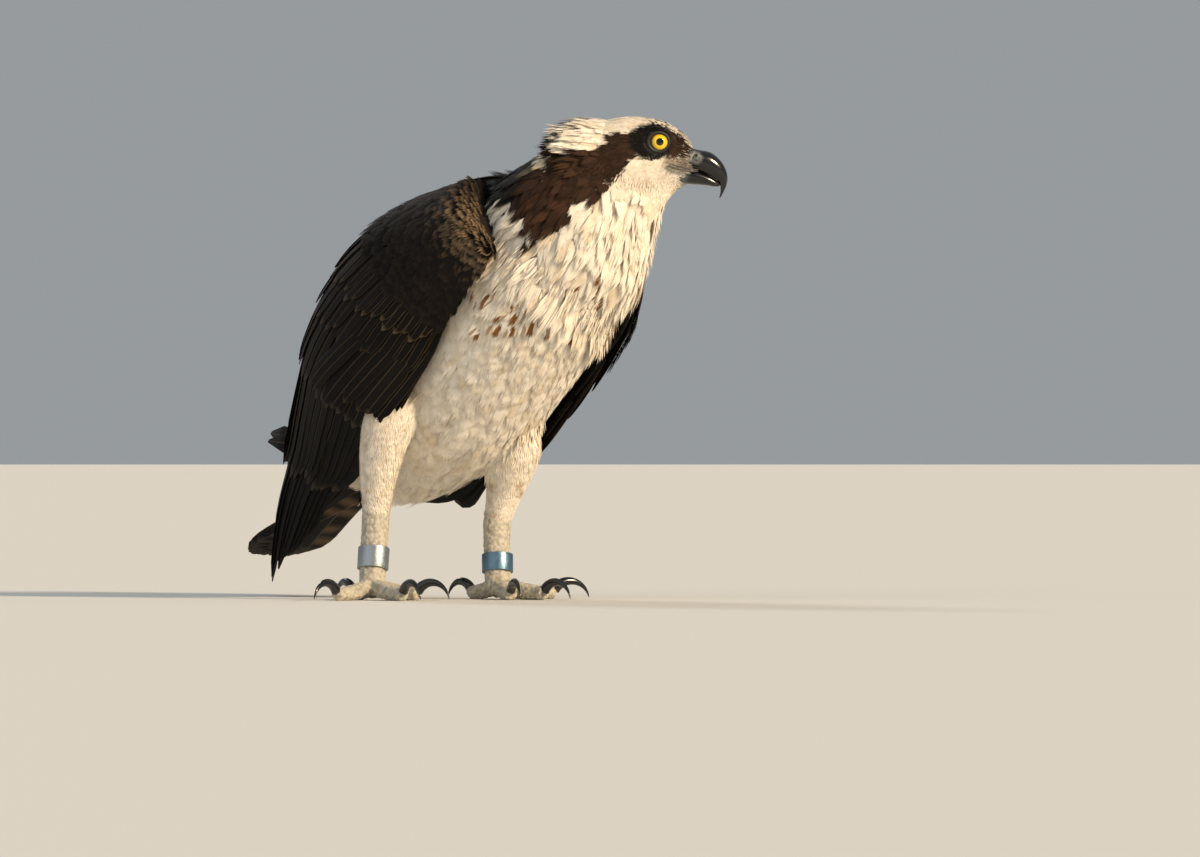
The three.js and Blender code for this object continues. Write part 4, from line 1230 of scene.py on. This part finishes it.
def wing_vanes(name, surface, side, seed):
    """One mesh of a wing's tiers and scapulars."""
    draw = np.random.default_rng(seed)
    paths, halves, tints, edges, bars = [], [], [], [], []
    parts = np.linspace(0, 1, VANE_STEPS)
    tiers = [*WING_TIERS, ELBOW_TIER] if side < 0 else [LEFT_TIP_TIER, *WING_TIERS[1:]]
    for tier in tiers:
        for i in range(tier["count"]):
            share = i / (tier["count"] - 1)
            root = between(tier["root"], share)
            tip = between(tier["tip"], share) + draw.uniform(-0.1, 0.1)
            first = between(tier["first"], parts)
            last = between(tier["last"], parts)
            rows = between((root, tip), parts)
            across = between((first, last), share) + draw.normal(0, 0.006) * parts
            pitch = (last - first) / (tier["count"] - 1)
            one_side = surface.at(rows, across - pitch / 2)[0]
            other_side = surface.at(rows, across + pitch / 2)[0]
            near = np.linalg.norm(one_side - other_side, axis=1)
            rise = (tier["lift"] + ROOT_SUNK) * parts**0.75 - ROOT_SUNK + draw.uniform(-0.2, 0.2) * parts
            place, down, over, out = surface.at(rows, across, rise)
            beside = unit(over - (over * down).sum(1, keepdims=True) * down)
            tilt = np.minimum(0.3, 1.1 / near)[:, None]
            beside = unit(beside - out * tilt)
            paths.append((place, beside, out))
            halves.append(tier["half"] * draw.uniform(0.93, 1.07))
            tints.append(tier["tint"] * draw.uniform(0.75, 1.3))
            edges.append(tier["edge"] * draw.uniform(0.5, 1.2) * (1.3 - share))
            bars.append(0)
    for path in scapulars(surface, side, draw):
        paths.append(path)
        halves.append(SCAPULAR_HALF * draw.uniform(0.9, 1.1))
        tints.append(DARK_BROWN_AND_SHADE * draw.uniform(0.8, 1.3))
        edges.append(0.15 * draw.uniform(0.3, 1.2))
        bars.append(0)
    return vane_mesh(name, paths, halves, tints, edges, bars, seed + 1)


# %% The arm of each wing, and its coverts
ARM_ROWS = 4.6
ARM_STEPS = (36, 24)
COVERT_ROWS, COVERTS_ACROSS = 26, 18


def wing_arm(name, surface):
    """The fleshy shell that the tiers grow from, thick at the wrist and thin behind."""
    row_places, part_places = np.linspace(-1, ARM_ROWS, ARM_STEPS[0]), np.linspace(0, 1, ARM_STEPS[1])
    rows, parts = np.meshgrid(row_places, part_places, indexing="ij")
    edge = np.clip((0.5 - np.abs(parts - 0.5)) * 6 + 0.12, 0, 1)
    front = np.clip((rows + 1) / 1.4 + 0.15, 0, 1)
    depth = (11 - 1.9 * rows) * edge * front + 0.8
    across = 0.03 + 0.92 * parts
    top = surface.at(rows, across, -1.4 * (1 - edge * front) - 0.8)[0]
    bottom = surface.at(rows, across, -depth - 0.8)[0]
    width = ARM_STEPS[1]
    layer = ARM_STEPS[0] * width
    points = np.concatenate([top.reshape(-1, 3), bottom.reshape(-1, 3)])
    faces = []
    for row in range(ARM_STEPS[0] - 1):
        for column in range(width - 1):
            a = row * width + column
            faces.append((a, a + 1, a + 1 + width, a + width))
            faces.append((layer + a, layer + a + width, layer + a + width + 1, layer + a + 1))
        for a, b in ((row * width, (row + 1) * width), ((row + 2) * width - 1, (row + 1) * width - 1)):
            faces.append((a, b, layer + b, layer + a))
    for column in range(width - 1):
        a = (ARM_STEPS[0] - 1) * width + column
        faces.append((column, layer + column, layer + column + 1, column + 1))
        faces.append((a, a + 1, layer + a + 1, layer + a))
    piece = new_piece(name, metres(points), faces)
    face_outwards(piece)
    unwrap_for_coat(piece)
    piece.data.materials.append(bare_skin)
    set_tint(piece, np.tile(DARK_BROWN_AND_SHADE * 0.8, (len(piece.data.vertices), 1)))
    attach(piece, "root")
    tell(piece)
    return piece


def lesser_coverts(name, surface, seed):
    """Small feathers over the wrist, with pale edges near the front."""
    draw = np.random.default_rng(seed)
    rows, across = [], []
    for i, row in enumerate(np.linspace(-0.97, 1.9, COVERT_ROWS)):
        offset = 0.5 * (i % 2)
        rows += [row] * COVERTS_ACROSS
        across += list((np.arange(COVERTS_ACROSS) + offset + 0.25) / (COVERTS_ACROSS + 0.5))
    rows = np.array(rows) + draw.uniform(-0.05, 0.05, len(rows))
    across = np.clip(np.array(across) + draw.uniform(-0.012, 0.012, len(across)), 0.01, 0.99)
    under_mantle = across >= 0.9 - 0.16 * smooth_step(0.9, 0.0, rows)
    behind_breast = (rows <= 0.6) & (across <= 0.4) & (surface.side > 0)
    kept = ~under_mantle & ~behind_breast
    rows, across = rows[kept], across[kept]
    base = 0.6 + 4.0 * smooth_step(0.2, 1.6, rows)
    on_curl = smooth_step(0.2, -0.5, rows)
    roots, downs, _, outs = surface.at(rows, across, base)
    ways = jittered(downs, outs, roots, 0.1, 0.06, seed + 1)
    front = smooth_step(1.3, 0.1, rows) * smooth_step(0.8, 0.35, across)
    count = len(rows)
    tints = DARK_BROWN_AND_SHADE * draw.uniform(0.8, 1.5, (count, 1)) * (1 + front[:, None] * [1.0, 0.55, 0.3])
    edge = draw.uniform(0.5, 1.0, count) * (0.04 + 0.62 * front**2)
    unwrap = np.stack([across * 0.96 + 0.02, (rows + 1) / 3 * 0.94 + 0.03], -1)
    length = draw.uniform(12, 16, count) * (1 - 0.4 * on_curl)
    half = draw.uniform(4.4, 5.4, count)
    lift = draw.uniform(1.2, 2.0, count) * (1 - 0.5 * on_curl)
    piece = feathers(
        name, roots, outs, ways, unwrap, tints, length, half, lift, 1.0 + 0.5 * on_curl, 11,
        edge=edge, camber=0.2, blunt=0.24, seed=seed + 2, on_skin=False,
    )
    return piece


for side_name, side, rows, seed in (("right", -1, RIGHT_WING_ROWS, 60), ("left", 1, LEFT_WING_ROWS, 80)):
    surface = WingSurface(side, rows)
    arm = wing_arm(f"wing_arm_{side_name}", surface)
    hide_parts(f"wing_{side_name}")
    piece = wing_vanes(f"wing_feathers_{side_name}", surface, side, seed)
    lesser_coverts(f"wing_coverts_{side_name}", surface, seed + 5)

# %% [markdown]
# Tail
#
# Twelve feathers fold into a narrow fan with the middle pair on top. Each carries pale bars on its inner
# web, and the underside is paler.

# %% Tail
TAIL_LENGTH, TAIL_HALF = 195, 12.5
TAIL_PAIRS = 6
TAIL_FAN = math.radians(1.9)
paths, halves, tints, edges, bars = [], [], [], [], []
draw = np.random.default_rng(101)
parts = np.linspace(0, 1, VANE_STEPS)[:, None]
for i in range(TAIL_PAIRS):
    for side in (-1, 1):
        turn = Matrix.Rotation(side * (i + 0.5) * TAIL_FAN, 3, Vector(TAIL_OUT))
        way = np.array(turn @ Vector(TAIL_WAY))
        across = np.cross(TAIL_OUT, way)
        across = unit(across if across @ TAIL_ACROSS > 0 else -across)
        length = TAIL_LENGTH * (1 - 0.005 * i * i) * draw.uniform(0.99, 1.01)
        height = -0.9 * i - (0.45 if side > 0 else 0) - 5 * parts**2
        place = TAIL_ROOT + way * length * parts + TAIL_ACROSS * side * (i + 0.5) * 2 + TAIL_OUT * height
        lean = unit(across - TAIL_OUT * side * 0.04)
        each = np.ones((VANE_STEPS, 1))
        paths.append((place, each * lean, each * TAIL_OUT))
        halves.append(TAIL_HALF)
        # painted shade: the tail's brown is darkened to near-black, as it looks in shade
        tints.append(FLIGHT_BROWN_AND_SHADE * draw.uniform(0.9, 1.3))
        edges.append(0.12)
        bars.append(7)
tail = vane_mesh("tail_feathers", paths, halves, tints, edges, bars, 102, slant=0.1)
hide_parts("tail")

# %% [markdown]
# Bill
#
# Horn over bone: glossy black and strongly hooked, with soft blue-grey skin, the cere, at its root, where
# the slit of a nostril opens. It is drawn through sections along its curve, and the nostril is cut out.

# %% Bill
BILL_SECTIONS = np.array(
    # top forward and up, bottom forward and up, half width
    [
        [19, -2.6, 15, -17.5, 9.3],
        [27.5, -4.6, 24, -19.3, 9.1],
        [36, -6.5, 32, -22.3, 7.8],
        [43, -12.5, 38, -25.3, 6],
        [46.8, -20, 41.3, -27.3, 4],
        [47.2, -27, 42.4, -30, 2.5],
        [45, -33, 42.4, -34, 1.4],
        [42.4, -37.6, 41.6, -37.2, 0.6],
    ],
    float,
)
JAW_SECTIONS = np.array(
    [
        [12, -14.5, 14, -28, 8.8],
        [23, -17, 24, -28.6, 7.6],
        [32, -20.5, 32.5, -29.2, 5.8],
        [38.5, -24.6, 38, -30, 4],
        [42, -26.8, 41.6, -29.8, 2.2],
    ],
    float,
)
BLACK_HORN = colour("#08090b")
GREY_HORN = colour("#5d6468")
CERE_GREY = colour("#9a9a96")


def bill_half(name, sections, rings):
    rows = spline(sections, np.linspace(0, 1, rings))
    top = on_head(0, 0, 0) + np.stack([rows[:, 0], 0 * rows[:, 0], rows[:, 1]], -1)
    bottom = on_head(0, 0, 0) + np.stack([rows[:, 2], 0 * rows[:, 0], rows[:, 3]], -1)
    tall = np.linalg.norm(top - bottom, axis=1) / 2
    across = np.ones((rings, 1)) * [0, 1, 0]
    middles = (top + bottom) / 2
    piece = tube(name, middles, across, unit(top - bottom), rows[:, 4], tall, tall, 40, squareness=0.9)
    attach(piece, "root")
    return piece


upper = bill_half("bill_top", BILL_SECTIONS, 48)
NOSTRIL_SIZE = np.array([2.4, 2.4, 1.2])
NOSTRIL_SLOPE = math.radians(-35)
for side in (-1, 1):
    nostril_place = metres(on_head(25.0, side * 8.9, -9.2))
    bpy.ops.mesh.primitive_uv_sphere_add(segments=20, ring_count=12, radius=1, location=nostril_place)
    cutter = bpy.context.object
    cutter.scale = NOSTRIL_SIZE * MM
    cutter.rotation_euler = (0, NOSTRIL_SLOPE, 0)
    modifier = upper.modifiers.new("nostril", "BOOLEAN")
    modifier.object, modifier.operation, modifier.solver = cutter, "DIFFERENCE", "EXACT"
    bpy.context.view_layer.objects.active = upper
    bpy.ops.object.modifier_apply(modifier="nostril")
    bpy.data.objects.remove(cutter)
lower = bill_half("bill_bottom", JAW_SECTIONS, 28)
tell(upper, lower)


def horn_tint(points):
    forward, _, up = (points - EYE_MIDDLE).T
    fleck = 0.6 + 0.6 * drift(points, 3, 9)
    cere = 1 - smooth_step(0.55, 1.1, np.hypot((forward - 24) / 7, (up + 10) / 5))
    base = 1 - smooth_step(17, 23, forward - 0.2 * (up + 20))
    base = base * smooth_step(-13.5, -16, up)
    tint = BLACK_HORN + (CERE_GREY - BLACK_HORN) * (cere * np.clip(fleck, 0, 1))[:, None]
    return tint + (GREY_HORN - tint) * (0.8 * base)[:, None]


# Polished horn: black, smooth and hard, with a wet-looking coat
horn, tree, shader = new_material("black_horn", roughness=0.2, coat_weight=0.4, coat_roughness=0.12)
place = add_node(tree, "ShaderNodeTexCoord")
tint = add_node(tree, "ShaderNodeAttribute", {"attribute_name": "tint"})
tree.links.new(tint.outputs["Color"], shader.inputs["Base Color"])
streaks = add_node(
    tree, "ShaderNodeTexNoise", None,
    {"Vector": place.outputs["Object"], "Scale": per_metre(2.381), "Detail": 4.0},
)
bump = add_node(
    tree, "ShaderNodeBump", None, {"Height": streaks.outputs["Fac"], "Strength": 0.25, "Distance": 0.2 * MM}
)
tree.links.new(bump.outputs["Normal"], shader.inputs["Normal"])
for piece, node in ((upper, "bill_upper"), (lower, "bill_lower")):
    piece.data.materials.append(horn)
    set_tint(piece, horn_tint(corners_of(piece)))
    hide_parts(node)

# %% The corner of the mouth
# Soft bare skin, smoother than the body's and faintly moist
gape_skin = mottled("gape_skin", 3.333, 0.85, 1.1, 0.8333, 0.2, roughness=0.55)
for side_name, side in (("right", -1), ("left", 1)):
    lips = []
    for drop, thick in ((0, 0.8), (-1.8, 0.9)):
        lips.append(
            limb_tube(
                f"lip_{drop}",
                [
                    on_head(27, side * 8.9, -18.6 + drop * 0.5),
                    on_head(20, side * 11.8, -17.6 + drop),
                    on_head(13, side * 15.4, -16.2 + drop),
                    on_head(7, side * 18.3, -14.6 + drop * 0.6),
                ],
                [0.4, thick * 0.7, thick * 0.65, 0.3],
                sides=12,
                rings=16,
            )
        )
    lip = joined_copy(f"mouth_corner_{side_name}", [], lips)
    lip.data.materials.append(gape_skin)
    set_tint(lip, np.tile(colour("#4c4740"), (len(lip.data.vertices), 1)))
    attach(lip, "root")
    tell(lip)

# %% [markdown]
# Eyes
#
# A raptor's eye is a wet, clear dome over a bright yellow iris and a round pupil, set deep under a brow.
# The ball starts as a sphere; the iris is drawn by distance from the eye's own axis, and a dark bare lid
# rings it.

# %% Eyes
IRIS_RADIUS, PUPIL_RADIUS, RAMP_REACH = 5.9, 2.4, 10.0
# A living eye's cornea: wet, clear and very smooth, so it mirrors the lamps
eye_coat, tree, shader = new_material(
    "wet_eye", roughness=0.06, ior=1.38, coat_weight=1.0, coat_roughness=0.02
)
place = add_node(tree, "ShaderNodeTexCoord")
axis_place = metres(on_head(0.9, 0, 0.3))
scale = 1 / (RAMP_REACH * MM)
centred = add_node(
    tree, "ShaderNodeMapping", None,
    {
        "Vector": place.outputs["Object"],
        "Location": (-axis_place[0] * scale, 0, -axis_place[2] * scale),
        "Scale": (scale, 0, scale),
    },
)
away = add_node(
    tree, "ShaderNodeTexGradient", {"gradient_type": "SPHERICAL"}, {"Vector": centred.outputs["Vector"]}
)
ramp = add_node(tree, "ShaderNodeValToRGB", None, {"Fac": away.outputs["Fac"]})
stops = ramp.color_ramp.elements
RING_COLOURS = [
    (IRIS_RADIUS + 0.3, "#0a0806"),
    (IRIS_RADIUS, "#5d4306"),
    (IRIS_RADIUS - 0.9, "#d8ac0e"),
    (PUPIL_RADIUS + 0.6, "#f4d626"),
    (PUPIL_RADIUS + 0.15, "#b8860a"),
    (PUPIL_RADIUS, "#020202"),
]
for radius, code in RING_COLOURS:
    stop = stops.new(1 - radius / RAMP_REACH)
    stop.color = (*colour(code), 1)
stops.remove(stops[0])
stops.remove(stops[len(stops) - 1])
tree.links.new(ramp.outputs["Color"], shader.inputs["Base Color"])
# Dark bare lid skin, a little glossy at its wet rim
lid_skin = mottled("eyelid_skin", 2.5, 0.8, 1.1, 0.6667, 0.2, roughness=0.5)
LID_RADIUS, LID_THICKNESS, LID_STRETCH = 6.6, 1.65, (1.1, 0.99, 1.25)
LID_TURN = math.radians(-13)  # with the side of the face
QUARTER = math.radians(90)
for side_name, side in (("right", -1), ("left", 1)):
    middle = metres(on_head(0, side * EYE_OUT, 0))
    bpy.ops.mesh.primitive_uv_sphere_add(
        segments=64, ring_count=40, radius=EYE_RADIUS * MM, location=middle, rotation=(QUARTER, 0, 0)
    )
    bpy.ops.object.transform_apply(location=True, rotation=True, scale=True)
    bpy.ops.object.shade_smooth()
    ball = bpy.context.object
    ball.name = ball.data.name = f"eyeball_{side_name}"
    ball.data.materials.append(eye_coat)
    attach(ball, "root")
    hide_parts(f"eye_{side_name}")
    bpy.ops.mesh.primitive_torus_add(
        major_segments=56, minor_segments=16, major_radius=LID_RADIUS * MM, minor_radius=LID_THICKNESS * MM,
        location=metres(on_head(-0.3, side * (EYE_OUT + 5.6), 0.2)), rotation=(QUARTER, 0, side * LID_TURN),
    )
    lid = bpy.context.object
    lid.scale = LID_STRETCH
    bpy.ops.object.transform_apply(location=True, rotation=True, scale=True)
    bpy.ops.object.shade_smooth()
    lid.name = lid.data.name = f"eyelids_{side_name}"
    lid.data.materials.append(lid_skin)
    set_tint(lid, np.tile(colour("#070605"), (len(lid.data.vertices), 1)))
    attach(lid, "root")
    tell(ball, lid)

# %% [markdown]
# Legs and feet
#
# Tarsus and toes are bare grey skin in coarse pebbled scales, which give the bird its grip. A copy of
# the solids is remeshed finely, smoothed, and raised by a cell pattern so that the scales are real form.

# %% Feet
FEET = {"right": np.array([-44.8, -21, 13.0]), "left": np.array([41.5, 17, 13.0])}
# Horny scales on the feet, drier than the eyelids and smoother than the skin of the body
foot_skin = mottled("pebbled_foot_skin", 3.846, 0.8, 1.1, 0.7692, 0.4, roughness=0.62)
SCALE_WIDTH, SCALE_HEIGHT, LEG_VOXEL = 2.6, 1.1, 0.8
scale_cells = bpy.data.textures.new("scale_cells", "VORONOI")
scale_cells.noise_scale = SCALE_WIDTH * MM
scale_cells.distance_metric = "DISTANCE"
FOOT_GREY = colour("#c3bba8")
FOOT_DARK = colour("#8a8272")
for side_name in ("right", "left"):
    thigh = THIGHS[side_name]
    shank = limb_tube(f"shank_{side_name}", [thigh[3], thigh[4], FEET[side_name]], [10.2, 9.4, 8.9])
    piece = joined_copy(f"leg_skin_{side_name}", [f"tarsus_{side_name}", f"foot_{side_name}"], [shank])
    apply_modifier(piece, "DISPLACE", strength=0.35 * MM, mid_level=0.0)
    apply_modifier(piece, "REMESH", mode="VOXEL", voxel_size=LEG_VOXEL * MM)
    apply_modifier(piece, "SMOOTH", factor=0.5, iterations=14)
    before = corners_of(piece)
    apply_modifier(
        piece, "DISPLACE", texture=scale_cells, texture_coords="LOCAL",
        strength=-SCALE_HEIGHT * MM, mid_level=0.35,
    )
    after = corners_of(piece)
    raised = np.linalg.norm(after - before, axis=1)
    after[:, 2] = np.maximum(after[:, 2], 0)
    move_corners(piece, after)
    bpy.ops.object.shade_smooth()
    piece.data.materials.append(foot_skin)
    groove = smooth_step(0.05, 0.45, raised)[:, None]
    set_tint(piece, FOOT_GREY + (FOOT_DARK - FOOT_GREY) * groove * 0.6)
    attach(piece, "root")
    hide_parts(f"tarsus_{side_name}", f"foot_{side_name}")
    tell(piece)

# %% Claws
TOES = {"inner": (-22, 37), "middle": (8, 46), "outer": (72, 41), "hind": (186, 27)}
CLAW_RADIUS, CLAW_FROM, CLAW_TO, CLAW_ROOT = 14.2, math.radians(55), math.radians(-78), 3.9
for side_name, side in (("right", -1), ("left", 1)):
    for toe, (turn, toe_length) in TOES.items():
        angle = YAW - math.radians(4) + side * math.radians(turn)
        way = np.array([math.cos(angle), math.sin(angle), 0])
        start = FEET[side_name] * [1, 1, 0] + way * (toe_length + 0.2) + np.array([0, 0, 6.4])
        size = CLAW_RADIUS * (0.94 if toe == "hind" else 1)
        parts = np.linspace(0, 1, 26)
        slope = CLAW_FROM + (CLAW_TO - CLAW_FROM) * parts
        ahead = size * (math.sin(CLAW_FROM) - np.sin(slope))
        rise = size * (np.cos(slope) - math.cos(CLAW_FROM))
        middles = start + ahead[:, None] * way + rise[:, None] * [0, 0, 1]
        upward = np.cos(slope)[:, None] * [0, 0, 1] - np.sin(slope)[:, None] * way
        across = np.ones((26, 1)) * np.cross(way, [0, 0, 1])
        thick = CLAW_ROOT * (1 - 0.93 * parts**1.25)
        piece = tube(f"talon_{side_name}_{toe}", middles, across, upward, thick * 0.82, thick, thick, 20)
        piece.data.materials.append(horn)
        set_tint(piece, np.tile(BLACK_HORN, (len(piece.data.vertices), 1)))
        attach(piece, "root")
        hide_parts(f"claw_{side_name}_{toe}")
        tell(piece)

# %% [markdown]
# Leg rings
#
# Each ring is a strip of aluminium bent round the leg, its two ends butted together. A cylinder with one
# narrow face taken out, given a wall and soft edges, is that strip.

# %% Leg rings
# Anodised aluminium: a thin coloured skin on the metal, satin, and scuffed in use
band_metal, tree, shader = new_material("anodised_aluminium", metallic=1.0, roughness=0.38)
place = add_node(tree, "ShaderNodeTexCoord")
scratches = add_node(
    tree, "ShaderNodeTexNoise", None,
    {"Vector": place.outputs["Object"], "Scale": per_metre(1.4286), "Detail": 5.0},
)
wear = add_node(
    tree, "ShaderNodeMapRange", None,
    {"Value": scratches.outputs["Fac"], "From Min": 0.35, "From Max": 0.65, "To Min": 0.28, "To Max": 0.52},
)
tree.links.new(wear.outputs["Result"], shader.inputs["Roughness"])
tint = add_node(tree, "ShaderNodeAttribute", {"attribute_name": "tint"})
tree.links.new(tint.outputs["Color"], shader.inputs["Base Color"])
BAND_SIDES = 72
BAND_RADIUS, BAND_WALL = 10.2, 1.3
BANDS = {"right": ((21, 36), "#a7acae"), "left": ((18.5, 31), "#6d8a9c")}
for side_name, ((low, high), code) in BANDS.items():
    heel, foot_place = np.array(THIGHS[side_name][4]), FEET[side_name]
    way = unit(heel - foot_place)
    up_leg = ((low + high) / 2 - foot_place[2]) / (heel[2] - foot_place[2])
    middle = foot_place + (heel - foot_place) * up_leg
    bpy.ops.mesh.primitive_cylinder_add(
        vertices=BAND_SIDES, radius=BAND_RADIUS * MM, depth=(high - low) * MM, end_fill_type="NOTHING",
        location=metres(middle),
    )
    band = bpy.context.object
    band.rotation_euler = Vector((0, 0, 1)).rotation_difference(Vector(way)).to_euler()
    bpy.ops.object.transform_apply(location=True, rotation=True, scale=True)
    band.name = band.data.name = f"leg_ring_{side_name}"
    bpy.ops.object.mode_set(mode="EDIT")
    bpy.ops.mesh.select_all(action="DESELECT")
    bpy.ops.object.mode_set(mode="OBJECT")
    rear_face = max(band.data.polygons, key=lambda face: face.center.y)
    rear_face.select = True
    bpy.ops.object.mode_set(mode="EDIT")
    bpy.ops.mesh.select_mode(type="FACE")
    bpy.ops.mesh.delete(type="FACE")
    bpy.ops.object.mode_set(mode="OBJECT")
    apply_modifier(band, "SOLIDIFY", thickness=BAND_WALL * MM, offset=0.0)
    apply_modifier(band, "BEVEL", width=0.25 * MM, segments=3, limit_method="ANGLE")
    bpy.ops.object.shade_smooth_by_angle(angle=math.radians(40))
    band.data.materials.append(band_metal)
    set_tint(band, np.tile(colour(code), (len(band.data.vertices), 1)))
    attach(band, "root")
    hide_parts(f"leg_band_{side_name}")
    tell(band)

# %% [markdown]
# Floor and light
#
# A plain pale floor, a warm low key from the front right like late sun, a wide fill from
# the left, and a rim from behind that draws the edge of the dark wings. A sun lamp has no fall-off, so the
# floor is lit evenly.

# %% Floor
bpy.ops.mesh.primitive_plane_add(size=60, location=(0, 0, 0))
floor = bpy.context.object
floor.name = "floor"
# Matt studio paper, even and without shine
paper, tree, shader = new_material("studio_paper", base_color=(*colour("#d5d3cd"), 1), roughness=0.9)
floor.data.materials.append(paper)
floor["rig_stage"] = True
tell(floor)

# %% Lamps
for name, place, spread, power, code in (
    ("key", (1.0, -0.8, 0.62), 9, 4.0, "#ffe6c4"),
    ("fill", (-1.0, -1.0, 0.5), 70, 0.55, "#eef2f6"),
    ("rim", (-0.5, 1.0, 0.8), 15, 0.8, "#ffffff"),
):
    bpy.ops.object.light_add(type="SUN", rotation=(-Vector(place)).to_track_quat("-Z", "Y").to_euler())
    lamp = bpy.context.object
    lamp.name = name
    lamp.data.angle = math.radians(spread)
    lamp.data.energy = power
    lamp.data.color = colour(code)
    print(name, "lamp", power)
world = bpy.data.worlds.new("studio")
world.use_nodes = True
world.node_tree.nodes["Background"].inputs["Color"].default_value = (*colour("#cdd3d6"), 1)
world.node_tree.nodes["Background"].inputs["Strength"].default_value = 0.5
bpy.context.scene.world = world
bpy.context.scene.view_settings.view_transform = "Standard"

# %% Sizes, and the end of the dressing
dressed_box = [list(corner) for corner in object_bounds()]
print("dressed box", [[round(value, 3) for value in corner] for corner in dressed_box])
